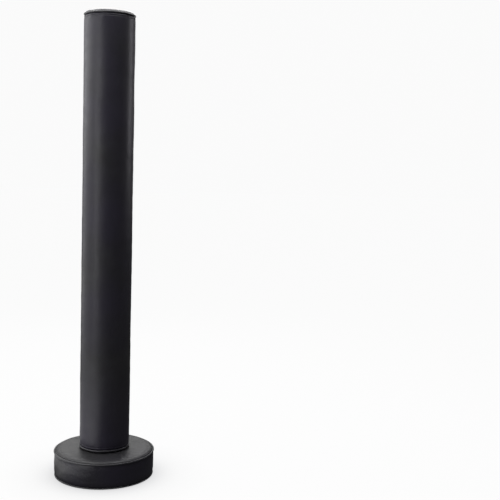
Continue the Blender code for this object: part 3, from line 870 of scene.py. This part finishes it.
def worn_edges(grid, along, across, edges):
    """Round a flap's outer edges over, and sink the leather at their stitched lines."""
    down, aside = np.meshgrid(along, across, indexing="ij")
    distances = {"start": down, "end": along[-1] - down, "near": aside, "far": across[-1] - aside}
    nearest = np.min([distances[edge] for edge in edges], axis=0)
    height = -0.00040 * np.exp(-nearest / 0.0007)
    height -= 0.00025 * bell(nearest - FLAP_HEM, 0.0009)
    height += 0.00022 * waves(grid, 48, 6.0)
    return raised(grid, height)


FLAP_LAYERS = (
    Band(0.00050, 0.0000, 0),
    Band(0.00055, 0.0006, 1),
    Band(0.00085, 0.0007, 1),
    Band(0.00090, 0.0013, 2),
    Band(0.00150, 0.0013, 2),
)


def hem_lines(grid, along, across, hems):
    """Lines of stitching on a grid: near and far run along it, start and end across it."""
    inside = (across >= FLAP_HEM) & (across <= across[-1] - FLAP_HEM)
    lines = []
    for edge, inset in hems:
        lengthwise = edge in ("near", "far")
        steps = across if lengthwise else along
        place = inset if edge in ("near", "start") else steps[-1] - inset
        row = np.interp(place, steps, np.arange(len(steps)))
        keep = slice(None) if lengthwise else inside
        values = [np.swapaxes(each, 0, 1) if lengthwise else each for each in (grid, normals_of(grid))]
        lines.append([between(each, [row])[0][keep] for each in values])
    return lines


def add_flap(name, replaced, grid, along, across, thickness, carrier, slot, looks, layered, hems):
    """A flap of three layers, seen at its layered edges, and the stitching along its hems."""
    mesh = skin_mesh(grid, normals_of(grid), thickness, FLAP_LAYERS, layered)
    add_piece(name, mesh, carrier, slot, *looks["flap"], replaced=replaced)
    runs = zip(*[stitches(line, up) for line, up in hem_lines(grid, along, across, hems)])
    mesh = thread_mesh(*[np.vstack(run) for run in runs])
    name = name.removesuffix("_leather") + "_stitching"
    add_piece(name, mesh, carrier, "piping_leather", looks["thread"])


def ring_top_flap_grid(across):
    """The outer face of the ring's top flap: flat on the top, then bending down over the rim."""
    bend = smooth_path([
        (TOP_FLAP_START, FLAP_TOP),
        (TOP_FLAP_BEND_START, FLAP_TOP),
        *from_corner(
            RING_WALL, FLAP_TOP,
            (-0.0208, -0.0001), (-0.0103, -0.0014), (-0.0026, -0.0042), (0.0028, -0.0078),
        ),
        (RING_FLAP_RADIUS + SIDE_FLAP, FLAP_TOP - 0.0118),
    ], 0.0006)
    along = across_places(run_lengths(bend)[-1], step=0.003)
    bend = at_lengths(bend, along)
    out, up = bend[:, 0:1], bend[:, 1:2]
    curved = np.sqrt(np.maximum(out ** 2 - across ** 2, 0))
    turn = ease((out - TOP_FLAP_BEND_START) / 0.035)
    return stacked(out * (1 - turn) + curved * turn, across, up), along


def side_flap_surface(angles, heights, inward=0.0):
    """The outer face of the ring's side flap, standing off a little at its loose lower corner."""
    ahead, heights = np.meshgrid((angles - RING_FLAP_SEAM) / RING_FLAP_TURN, heights)
    angles = RING_FLAP_SEAM + ahead * RING_FLAP_TURN
    sewn = 0.0030 * ease(1 - ahead / 0.16) * ease((0.0945 - heights) / 0.012)
    loose = 0.0042 * ease((ahead - 0.45) / 0.55) * ease((0.060 - heights) / 0.052)
    wavy = 0.0006 * np.sin(heights * 95 + 1.0) * ease((ahead - 0.55) / 0.45) * ease((0.09 - heights) / 0.03)
    return round_pole(RING_FLAP_RADIUS + SIDE_FLAP - sewn + loose + wavy - inward, angles, heights)


def wall_flap_grid(surface, seam_angle, turn, radius, high, low, step):
    """A flap round a wall, from its seam to its free edge and from its top down."""
    across = across_places(turn * radius)
    along = across_places(high - low, step=step)
    return surface(seam_angle + across / radius, high - along), along, across


def build_ring_flap(looks):
    """The ring's flap, in a part that stays down by the hole, one over the top and one down the side."""
    behind = -RING_FLAP_RADIUS * sin(RING_FLAP_BEHIND)
    ahead = RING_FLAP_RADIUS * sin(RING_FLAP_AHEAD)
    across = across_places(ahead - behind) + behind
    from_seam = across - across[0]
    thickness = FLAP_TOP - FLAP_LOW

    along = across_places(TOP_FLAP_START - TOP_FLAP_END_START, step=0.0035)
    grid = stacked((along + TOP_FLAP_END_START)[:, None], across, FLAP_TOP)
    grid = to_world(worn_edges(grid, along, from_seam, ("start", "near", "far")), RING_SLIT)
    add_flap(
        "ring_flap_end", "ring_flap_inner_end", grid, along, from_seam, thickness, RING.fixed,
        "black_leather", looks, layered=("far",),
        hems=(("near", FLAP_HEM), ("start", FLAP_HEM), ("start", 0.0085)),
    )

    grid, along = ring_top_flap_grid(across)
    grid = to_world(worn_edges(grid, along, from_seam, ("near", "far")), RING_SLIT)
    add_flap(
        "ring_flap_top", "ring_top_flap", grid, along, from_seam, thickness,
        seam_of("ring_top_flap_peel", RING_SLIT),
        "black_leather", looks, layered=("far",), hems=(("near", FLAP_HEM),),
    )

    grid, along, across = wall_flap_grid(
        side_flap_surface, RING_FLAP_SEAM, RING_FLAP_TURN, RING_FLAP_RADIUS, SIDE_FLAP_TOP, RING_FLAP_FOOT,
        step=0.0035,
    )
    grid = worn_edges(grid, along, across, ("near", "far", "end"))
    add_flap(
        "ring_flap_side", "ring_side_flap", grid, along, across, SIDE_FLAP,
        seam_of("ring_side_flap_peel", RING_FLAP_SEAM),
        "side_leather", looks, layered=("far", "end"), hems=(("near", FLAP_HEM), ("end", FLAP_HEM)),
    )
    build_ring_tapes(looks)


def add_tape(place, kind, grid, thickness, body, looks):
    """A strip of hook or loop tape, with a soft edge."""
    height = np.zeros(grid.shape[:2])
    for line in (height[0], height[-1], height[:, 0], height[:, -1]):
        line -= TAPE_SOFT_EDGE
    grid = raised(grid, height)
    mesh = skin_mesh(grid, normals_of(grid), thickness)
    add_piece(
        f"{place}_{kind}_tape", mesh, body, f"{kind}_tape", looks[kind], replaced=f"{place}_{kind}_strip",
    )


def add_wall_tapes(pad, place, wall, angles, heights, surface, inward, loop_tape, hook_tape, closure, looks):
    """Loop tape on a wall at a radius, and hook tape a little inside the flap that covers it."""
    loop = round_pole(wall, angles, heights[:, None])
    add_tape(place, "loop", loop, loop_tape, pad.swing, looks)
    hook = surface(angles, heights, inward=inward + TAPE_GAP + hook_tape)[:, ::-1]
    add_tape(place, "hook", hook, hook_tape, closure, looks)


def build_ring_tapes(looks):
    out = np.linspace(0.118, 0.184, 34)[:, None]
    ahead = np.linspace(0.006, 0.037, 18)
    loop = to_world(stacked(out, ahead, RING_TOP - VALLEY_DEPTH + LOOP_PROUD), RING_SLIT)
    add_tape("ring_top", "loop", loop, RING_TAPE, RING.swing, looks)
    hook = to_world(stacked(out, ahead[::-1], FLAP_LOW - TAPE_GAP - RING_TAPE), RING_SLIT)
    add_tape("ring_top", "hook", hook, RING_TAPE, "ring_closure_top", looks)

    angles = RING_SLIT + np.radians(np.linspace(1.875, 9.375, 16))
    heights = np.linspace(0.088, 0.022, 34)
    add_wall_tapes(
        RING, "ring_side", RING_WALL + SIDE_LOOP_PROUD, angles, heights,
        side_flap_surface, SIDE_FLAP, RING_TAPE, RING_SIDE_HOOK_TAPE, "ring_closure_side", looks,
    )


# The column

def build_column_side(look, thread):
    profile = smooth_path([
        *from_corner(
            COLUMN_WALL, COLUMN_TOP_PIPING,
            (-0.0056, -0.0030), (-0.0024, -0.0062), (-0.0004, -0.0125), (0, -0.0450),
        ),
        (COLUMN_WALL, (COLUMN_TOP_PIPING + COLUMN_FOOT_PIPING) / 2),
        *from_corner(
            COLUMN_WALL, COLUMN_FOOT_PIPING,
            (0, 0.0450), (-0.0008, 0.0135), (-0.0026, 0.0056), (-0.0046, 0.0030),
        ),
    ], 0.005)
    reach = run_lengths(profile)
    total = reach[-1]
    fine_end, even_start = 0.040, 0.100
    by_ends = np.concatenate([np.arange(0, fine_end, 0.0012), np.arange(fine_end, even_start, 0.004)])
    places = np.concatenate([by_ends, np.linspace(even_start, total - even_start, 190), total - by_ends])
    places = np.unique(np.round(places, 5))
    grid = swept(COLUMN, at_lengths(profile, places, reach))
    clear_of_flap = beside_flap(grid, COLUMN, ahead=24, behind=9, fade=14)
    to_end = np.minimum(places, total - places)[:, None]
    pucker = 0.0011 * (waves(grid, (62, 62, 14), 4.0) - 0.25) * bell(to_end - 0.010, 0.016)
    band = 0.0009 * bell(to_end - 0.0072, 0.0030) - 0.0009 * bell(to_end - COLUMN_STITCHING, 0.0015)
    broad = 0.0010 * waves(grid, (9, 9, 5), 7.0) + 0.0007 * waves(grid, (22, 22, 7), 9.0)
    slack = ease((to_end - 0.014) / 0.03)
    dents = 0.0006 * waves(grid, (16, 16, 30), 15.0)
    grid = raised(grid, pucker * clear_of_flap + band + (broad + dents - 0.0002) * slack * clear_of_flap)
    add_skin(COLUMN, "side_panel", grid, SKIN, look)
    normals = normals_of(grid)
    for name, distance in (("top_stitching", COLUMN_STITCHING), ("foot_stitching", total - COLUMN_STITCHING)):
        row = int(np.argmin(np.abs(places - distance)))
        add_pad_thread(COLUMN, name, grid[row], normals[row], thread)


def build_column_caps(look):
    profile = smooth_path([
        *from_corner(
            COLUMN_BORE, COLUMN_TOP,
            (0, -0.0120), (0.0009, -0.0070), (0.0045, -0.0034), (0.0140, -0.0012), (0.0320, -0.0004),
        ),
        *from_corner(
            COLUMN_WALL, COLUMN_TOP,
            (-0.0190, -0.0018), (-0.0090, -0.0056), (-0.0050, -0.0092), (-0.0050, -0.0112),
        ),
    ], 0.0026)
    reach = run_lengths(profile)[:, None]
    grid = swept(COLUMN, profile)
    free = ease((reach - 0.012) / 0.008) * ease((reach[-1] - reach - 0.002) / 0.004)
    angle = np.abs(ahead_of_slit(grid, COLUMN)[1])
    free = free * ease((angle - radians(3)) / radians(8))
    grid = raised(grid, 0.0003 * waves(grid, 40, 1.0) * free)
    grid = swell(grid, free, low=-0.0010, high=0.0008, excess=0.003)
    add_skin(COLUMN, "top_cap", grid, SKIN, look)

    profile = smooth_path([
        *from_corner(
            COLUMN_WALL, COLUMN_FOOT, (-0.0048, 0.0060), (-0.0056, 0.0034), (-0.0090, 0.0010), (-0.0160, 0),
        ),
        *from_corner(COLUMN_BORE, COLUMN_FOOT, (0.0060, 0), (0.0012, 0.0022), (0, 0.0060)),
    ], 0.0035)
    grid = swept(COLUMN, profile)
    add_skin(COLUMN, "bottom_cap", grid, SKIN, look)


def column_flap_surface(angles, heights, inward=0.0):
    """The outer face of the column's flap. Its sewn edge is laid down on the skin."""
    angles, heights = np.meshgrid(angles, heights)
    ahead = (angles - COLUMN_FLAP_SEAM) / COLUMN_FLAP_TURN
    sewn = (COLUMN_FLAP_RADIUS - COLUMN_FLAP_SEAM_RADIUS) * ease(1 - ahead / 0.22)
    ripple = 0.0006 * np.sin(heights * 21 + 2 * np.sin(heights * 9)) * ease((ahead - 0.88) / 0.12)
    return round_pole(COLUMN_FLAP_RADIUS + COLUMN_FLAP - sewn + ripple - inward, angles, heights)


def build_column_flap(looks):
    grid, along, across = wall_flap_grid(
        column_flap_surface, COLUMN_FLAP_SEAM, COLUMN_FLAP_TURN, COLUMN_FLAP_RADIUS,
        COLUMN_FLAP_HIGH, COLUMN_FLAP_LOW, step=0.007,
    )
    edges = ("near", "far", "start", "end")
    grid = worn_edges(grid, along, across, edges)
    add_flap(
        "column_flap_leather", "column_flap", grid, along, across, COLUMN_FLAP,
        seam_of("column_flap_peel", COLUMN_FLAP_SEAM),
        "side_leather", looks, layered=("start", "end", "far"), hems=[(edge, FLAP_HEM) for edge in edges],
    )
    angles = COLUMN_SLIT + np.radians(np.linspace(1.875, 20.625, 14))
    heights = np.linspace(COLUMN_FOOT + 1.770, COLUMN_FOOT + 0.060, 240)
    add_wall_tapes(
        COLUMN, "column", COLUMN_WALL + LOOP_PROUD, angles, heights,
        column_flap_surface, COLUMN_FLAP, COLUMN_TAPE, COLUMN_TAPE, "column_closure", looks,
    )


# Materials

def set_sockets(node, sockets):
    """Give each named socket of a node its value, or a link where the value is a socket."""
    for name, value in sockets.items():
        socket = node.inputs[name]
        if isinstance(value, bpy.types.NodeSocket):
            node.id_data.links.new(value, socket)
        else:
            socket.default_value = (*value, 1) if socket.type == "RGBA" else value


def add_node(kind, sockets, tree=None, **settings):
    """A shader node, in a given tree or in that of the sockets it is linked from."""
    sources = [value for value in sockets.values() if isinstance(value, bpy.types.NodeSocket)]
    tree = tree or sources[0].id_data
    node = tree.nodes.new(f"ShaderNode{kind}")
    for name, value in settings.items():
        setattr(node, name, value)
    set_sockets(node, sockets)
    return node


def new_material(name):
    material = bpy.data.materials.new(name)
    material.use_nodes = True
    tree = material.node_tree
    place = add_node("Attribute", {}, tree, attribute_name="rest_place")
    return material, tree.nodes["Principled BSDF"], place.outputs["Vector"]


def noise_node(place, scale, detail=2.0, roughness=0.5, distortion=0.0):
    sockets = {
        "Vector": place, "Scale": scale, "Detail": detail, "Roughness": roughness, "Distortion": distortion,
    }
    return add_node("TexNoise", sockets).outputs["Fac"]


def cell_node(place, scale, feature="DISTANCE_TO_EDGE"):
    node = add_node("TexVoronoi", {"Vector": place, "Scale": scale}, feature=feature)
    return node.outputs["Distance"]


def ranged(value, low, high, new_low, new_high):
    sockets = {"Value": value, "From Min": low, "From Max": high, "To Min": new_low, "To Max": new_high}
    return add_node("MapRange", sockets).outputs["Result"]


def mixed(share, first, second):
    sockets = {"A": first, "B": second, "Factor": share}
    return add_node("Mix", sockets, data_type="RGBA").outputs["Result"]


def combined(operation, first, second):
    return add_node("Math", {0: first, 1: second}, operation=operation).outputs["Value"]


def bumped(height, strength, distance, below=None):
    sockets = {"Strength": strength, "Distance": distance, "Height": height}
    if below is not None:
        sockets["Normal"] = below
    return add_node("Bump", sockets).outputs["Normal"]


def stretched(place, scale):
    return add_node("Mapping", {"Scale": scale, "Vector": place}).outputs["Vector"]


def set_look(shader, colour, roughness, normal):
    set_sockets(shader, {"Base Color": colour, "Roughness": roughness, "Normal": normal})


def painted_reflection_at_column_foot(place):
    """Where reflected light is painted at the foot of the column: 1 at its foot, fading upward, and 0 on the
    ring.
    """
    height = add_node("SeparateXYZ", {0: place}).outputs["Z"]
    return combined("MULTIPLY", ranged(height, 0.119, 0.124, 0, 1), ranged(height, 0.14, 0.50, 1, 0))


def leather(name, dark, light, tint_and_painted_reflection, roughness, grain=1.0):
    """Grained imitation leather: cloudy tone, patches of tint, fine cells, soft creases and an uneven gloss.
    The tint is also painted at the column's foot as reflected light.
    """
    material, shader, place = new_material(name)
    cloud = noise_node(place, 11, detail=4, roughness=0.6)
    tone = mixed(ranged(cloud, 0.3, 0.72, 0, 1), dark, light)
    broad = noise_node(place, 3.1, detail=2)
    # The tint falls on broad random patches, and on the column's foot, where it is painted reflected light.
    tint_and_reflection_share = combined("MAXIMUM", ranged(broad, 0.42, 0.66, 0, 1), painted_reflection_at_column_foot(place))
    gloss = noise_node(place, 38, detail=5, roughness=0.65)
    gloss = ranged(gloss, 0.25, 0.75, roughness - 0.06, roughness + 0.08)
    creases = noise_node(stretched(place, (1, 1, 0.8)), 90, detail=3, distortion=0.7)
    normal = bumped(creases, 0.14, 0.0016)
    normal = bumped(cell_node(place, 620), 0.30 * grain, 0.00022, normal)
    normal = bumped(noise_node(place, 1900, detail=2), 0.12 * grain, 0.00012, normal)
    set_look(shader, mixed(tint_and_reflection_share, tone, tint_and_painted_reflection), gloss, normal)
    set_sockets(shader, {"IOR": 1.48, "Sheen Weight": 0.04, "Sheen Roughness": 0.4})
    return material


def woven(name, dark, light, pitch, roughness, depth):
    """Plain woven cloth, with threads crossing up and along the surface."""
    material, shader, place = new_material(name)
    threads = []
    for direction, stretch in (("DIAGONAL", (1, 1, 0)), ("Z", (0, 0, 1))):
        sockets = {
            "Vector": stretched(place, stretch), "Scale": 0.5 / pitch, "Distortion": 0.6, "Detail": 1.0,
        }
        wave = add_node("TexWave", sockets, wave_type="BANDS", bands_direction=direction)
        threads.append(wave.outputs["Fac"])
    cloud = noise_node(place, 30, detail=3)
    gloss = ranged(cloud, 0.2, 0.8, roughness - 0.08, roughness + 0.08)
    set_look(shader, mixed(cloud, dark, light), gloss, bumped(combined("MULTIPLY", *threads), 0.6, depth))
    return material


def tufted(name, dark, light, scale, strength):
    """Hook or loop tape: a dense pile of tiny tufts."""
    material, shader, place = new_material(name)
    cells = cell_node(place, scale, "F1")
    fuzz = noise_node(place, scale * 2.2, detail=3, roughness=0.7)
    normal = bumped(fuzz, strength, 0.0005, bumped(cells, strength, 0.0008))
    set_look(shader, mixed(fuzz, dark, light), ranged(fuzz, 0.2, 0.8, 0.8, 1.0), normal)
    return material


def foam_material():
    material, shader, place = new_material("closed_cell_foam")
    cells = cell_node(place, 420, "F1")
    colour = mixed(noise_node(place, 20, detail=3), (0.09, 0.09, 0.095), (0.14, 0.14, 0.145))
    set_look(shader, colour, ranged(cells, 0, 1, 0.9, 1.0), bumped(cells, 0.7, 0.0008))
    return material


def thread_material():
    material, shader, place = new_material("thread")
    twist = noise_node(place, 2400, detail=1)
    colour = mixed(twist, (0.020, 0.020, 0.022), (0.060, 0.058, 0.062))
    set_look(shader, colour, ranged(twist, 0, 1, 0.45, 0.7), bumped(twist, 0.5, 0.0002))
    return material


# Stage

def build_floor():
    places = np.linspace(-FLOOR_HALF, FLOOR_HALF, FLOOR_LINES)
    grid = stacked(places, places[:, None], 0)
    mesh = new_mesh("floor", grid, quads(numbered(*grid.shape[:2]))[:, ::-1].tolist())
    material, shader, _ = new_material("pale_floor")
    # The lamps do not light the floor. Ambient occlusion darkens its glow to the grey below near the pad, a
    # painted contact shadow.
    painted_contact_shadow = add_node("AmbientOcclusion", {"Distance": 0.25}, material.node_tree, samples=8)
    tone = ranged(painted_contact_shadow.outputs["AO"], 0.35, 0.95, 0, 1)
    set_sockets(shader, {
        "Emission Color": mixed(tone, (0.64, 0.64, 0.65), PAPER),
        "Emission Strength": 1.0,
        "Base Color": (0.02, 0.02, 0.02),
        "Roughness": 0.9,
        "Specular IOR Level": 0.0,
    })
    floor = new_object("floor", mesh, material)
    floor.location.z = -FLOOR_DROP
    floor.visible_diffuse = False
    floor.visible_glossy = False


def area_light(name, place, target, size, power, colour=(1, 1, 1)):
    light = bpy.data.lights.new(name, "AREA")
    light.shape = "RECTANGLE"
    light.size, light.size_y = size
    light.energy = power
    light.color = colour
    item = linked(name, light)
    item.location = place
    item.rotation_euler = (Vector(target) - Vector(place)).to_track_quat("-Z", "Y").to_euler()
    item.visible_camera = False


def build_light():
    area_light("left_high", (-2.2, 0.3, 2.3), (0, 0, 1.6), (2.0, 1.6), 23)
    area_light("left_low", (-2.2, 0.3, 0.8), (0, 0, 0.5), (2.0, 1.2), 6)
    area_light("front_left_high", (-2.0, -1.7, 2.0), (0, 0, 1.5), (1.2, 1.4), 16)
    area_light("front_left_low", (-2.0, -1.7, 0.7), (0, 0, 0.4), (1.2, 1.0), 8)
    area_light("left_back_box", (-2.0, 1.7, 1.3), (0, 0, 0.9), (0.8, 2.6), 10)
    area_light("left_back_high", (-2.0, 1.7, 2.0), (0, 0, 1.5), (0.8, 1.4), 4)
    area_light("right_rim", (2.3, 0.9, 2.0), (0, 0, 1.4), (0.7, 1.5), 8.5, (0.97, 0.95, 1.0))
    area_light("back_box", (0.0, 3.2, 1.7), (0, 0, 0.2), (2.8, 1.8), 19)
    area_light("back_high", (0.0, 2.4, 3.4), (0, 0, 0.1), (1.6, 1.2), 40)
    area_light("overhead_panel", (0.0, 0.2, 3.3), (0, 0.2, 0), (2.4, 3.0), 84)
    area_light("floor_bounce", (-1.25, 0.0, 0.01), (-1.25, 0.0, 1), (1.9, 2.0), 8.5)
    area_light("near_bounce", (-0.75, -0.5, 0.01), (-0.75, -0.5, 1), (0.9, 1.0), 1.7)
    area_light("foot_bounce", (-0.40, -0.28, 0.004), (-0.40, -0.28, 1), (0.34, 0.50), 0.28)


def build_surroundings():
    """Soft light from all round, dimmer at the back, and plain paper behind the floor."""
    world = bpy.data.worlds.new("studio")
    bpy.context.scene.world = world
    world.use_nodes = True
    tree = world.node_tree
    way = tree.nodes.new("ShaderNodeTexCoord").outputs["Generated"]
    dimmed = ranged(add_node("SeparateXYZ", {0: way}).outputs["Y"], -0.2, 0.6, 0.104, 0.039)
    dimmed.node.interpolation_type = "SMOOTHSTEP"
    room = tree.nodes["Background"]
    set_sockets(room, {"Color": (1, 1, 1), "Strength": dimmed})
    seen = add_node("Background", {"Color": PAPER, "Strength": 1.0}, tree)
    ray = tree.nodes.new("ShaderNodeLightPath")
    choice = add_node("MixShader", {
        "Fac": ray.outputs["Is Camera Ray"], 1: room.outputs["Background"], 2: seen.outputs["Background"],
    })
    set_sockets(tree.nodes["World Output"], {"Surface": choice.outputs["Shader"]})
    bpy.context.scene.view_settings.view_transform = "Standard"


def build_camera():
    """The camera stands in front and looks a little to the right, as in the photograph."""
    distance, height = 3.727, 1.330
    yaw, tilt, roll = -0.1624, -0.0940, 0.0288
    focal_pixels, picture = 877.1, 500
    ahead = Vector((-sin(yaw) * cos(tilt), cos(yaw) * cos(tilt), sin(tilt)))
    level = Vector((cos(yaw), sin(yaw), 0))
    upright = level.cross(ahead)
    right = level * cos(roll) + upright * sin(roll)
    up = upright * cos(roll) - level * sin(roll)
    data = bpy.data.cameras.new("camera")
    data.sensor_width = 36
    data.lens = focal_pixels / picture * data.sensor_width
    item = linked("camera", data)
    turn = Matrix((right, up, -ahead)).transposed().to_4x4()
    item.matrix_world = Matrix.Translation((0, -distance, height)) @ turn
    bpy.context.scene.camera = item


# Sections of the foam and its end panels

def ring_foam_outline():
    depth = 0.0020
    return [
        (RING_BORE + depth, depth),
        (RING_BORE + depth, RING_TOP - 0.010),
        *from_corner(RING_BORE, RING_TOP, (0.0060, -0.0040), (0.0160, -0.0028)),
        *from_corner(RING_WALL, RING_TOP, (-0.0628, -0.0036), (-0.0240, -0.0036), (-0.0110, -0.0060)),
        (RING_WALL - 0.0070, RING_PIPING_HEIGHT),
        (RING_WALL - 0.0048, RING_TOP - 0.030),
        (RING_WALL - 0.0044, RING_TOP / 2),
        *from_corner(RING_WALL, 0, (-0.0048, 0.025), (-0.0080, 0.0050), (-0.0120, depth)),
    ]


def column_foam_outline():
    depth = 0.0020
    return [
        (COLUMN_BORE + depth, COLUMN_FOOT + 0.008),
        *from_corner(COLUMN_BORE, COLUMN_TOP, (depth, -0.010), (0.010, -0.0044)),
        (COLUMN_WALL - 0.020, COLUMN_TOP - 0.0050),
        *from_corner(COLUMN_WALL, COLUMN_TOP_PIPING, (-0.010, 0.002), (-0.0050, -0.020), (-0.0040, -0.060)),
        (COLUMN_WALL - 0.0040, (COLUMN_TOP + COLUMN_FOOT) / 2),
        *from_corner(COLUMN_WALL, COLUMN_FOOT_PIPING, (-0.0040, 0.060), (-0.0050, 0.020), (-0.010, -0.004)),
        (COLUMN_WALL - 0.018, COLUMN_FOOT + depth),
        (COLUMN_BORE + 0.008, COLUMN_FOOT + depth),
    ]


def ring_end_section():
    bottom = [(RING_BORE + 0.0012, 0.0014), (RING_WALL - 0.0075, 0.0014)]
    out = np.linspace(RING_WALL - 0.0066, RING_BORE + 0.0012, 26)
    crown = RING_TOP - 0.0019 - 0.0080 * ease((out - RING_WALL + 0.024) / 0.020)
    crown = crown - 0.0060 * ease((RING_BORE + 0.006 - out) / 0.005)
    top = np.column_stack([out, crown - VALLEY_DEPTH * inside_rims(out)])[::-1]
    wall = [
        bottom[-1],
        *from_corner(RING_WALL, 0, (-0.0030, 0.016), (-0.0016, RING_TOP / 2)),
        (RING_WALL - 0.0024, RING_TOP - 0.030),
        tuple(top[-1]),
    ]
    return bottom, top, [bottom[0], tuple(top[0])], wall


def column_end_section():
    low, high = COLUMN_FOOT + 0.0020, COLUMN_TOP - 0.0020
    bottom = [
        *from_corner(COLUMN_BORE, low, (0.0012, 0.004), (0.006, 0)),
        *from_corner(COLUMN_WALL, low, (-0.016, 0), (-0.007, 0.006)),
    ]
    top = [
        *from_corner(COLUMN_BORE, high, (0.0012, -0.010), (0.006, -0.003), (0.030, 0)),
        *from_corner(COLUMN_WALL, high, (-0.018, -0.002), (-0.0075, -0.010)),
    ]
    wall = [bottom[-1], (COLUMN_WALL - 0.0018, low + 0.045), (COLUMN_WALL - 0.0018, high - 0.045), top[-1]]
    return bottom, top, [bottom[0], top[0]], wall


# The whole pad

def main():
    # The third colour of each leather is its tint: it lies in random patches, and at the column's foot it is
    # painted reflected light.
    top_leather = leather(
        "top_leather", (0.014, 0.014, 0.015), (0.024, 0.024, 0.025), (0.021, 0.020, 0.025), roughness=0.44,
    )
    side_look = leather(
        "side_leather", (0.0150, 0.0145, 0.0175), (0.0255, 0.0248, 0.0295), (0.0220, 0.0190, 0.0340),
        roughness=0.42,
    )
    # The piping is the same black leather made lighter in colour: a painted highlight along its bright lines.
    piping_look_painted_highlight = leather(
        "piping_leather", (0.026, 0.026, 0.028), (0.044, 0.044, 0.048), (0.036, 0.035, 0.042),
        roughness=0.30, grain=0.7,
    )
    lining_look = woven(
        "woven_lining", (0.005, 0.005, 0.006), (0.011, 0.011, 0.012),
        pitch=0.0009, roughness=0.86, depth=0.0003,
    )
    backing = woven(
        "red_backing", (0.050, 0.006, 0.012), (0.090, 0.012, 0.022),
        pitch=0.0007, roughness=0.8, depth=0.0003,
    )
    edge_line = woven(
        "pink_edge", (0.17, 0.085, 0.110), (0.27, 0.150, 0.180),
        pitch=0.0006, roughness=0.7, depth=0.0002,
    )
    foam_look = foam_material()
    thread = thread_material()
    flap_looks = {
        "flap": (side_look, edge_line, backing),
        "hook": tufted("hook_tape", (0.008, 0.008, 0.009), (0.020, 0.020, 0.022), scale=900, strength=0.9),
        "loop": tufted("loop_tape", (0.010, 0.010, 0.011), (0.026, 0.026, 0.028), scale=420, strength=0.8),
        "thread": thread,
    }

    build_ring_top(top_leather, thread)
    build_ring_side(side_look)
    for part, radius, height, thickness, columns, seed in (
        ("top_piping", RING_PIPING_RADIUS, RING_PIPING_HEIGHT, RING_PIPING, 960, 1.0),
        ("bottom_piping", RING_FOOT_PIPING_RADIUS, RING_FOOT_PIPING_HEIGHT, RING_FOOT_PIPING, 720, 2.0),
    ):
        add_piping(RING, part, radius, height, thickness, columns, piping_look_painted_highlight, seed)
    build_ring_foot(side_look)
    low, high = 0.0026, RING_TOP - 0.0104
    build_lining(RING, RING_BORE, low, high, lining_look, spacing=0.005, crease=0.0009, columns=240)
    add_foam(RING, ring_foam_outline(), foam_look, pressed=True)
    add_end_panels(RING, ring_end_section(), lining_look, rows=26, columns=26)
    build_ring_flap(flap_looks)

    build_column_side(side_look, thread)
    build_column_caps(top_leather)
    for part, height, seed in (
        ("top_piping", COLUMN_TOP_PIPING, 3.0),
        ("bottom_piping", COLUMN_FOOT_PIPING, 4.0),
    ):
        add_piping(COLUMN, part, COLUMN_PIPING_RADIUS, height, COLUMN_PIPING, 480, piping_look_painted_highlight, seed)
    low, high = COLUMN_FOOT + 0.0066, COLUMN_TOP - 0.0124
    build_lining(COLUMN, COLUMN_BORE, low, high, lining_look, spacing=0.02, crease=0.0005, columns=120)
    add_foam(COLUMN, column_foam_outline(), foam_look)
    add_end_panels(COLUMN, column_end_section(), lining_look, rows=160, columns=10)
    build_column_flap(flap_looks)

    build_floor()
    build_light()
    build_surroundings()
    build_camera()


main()
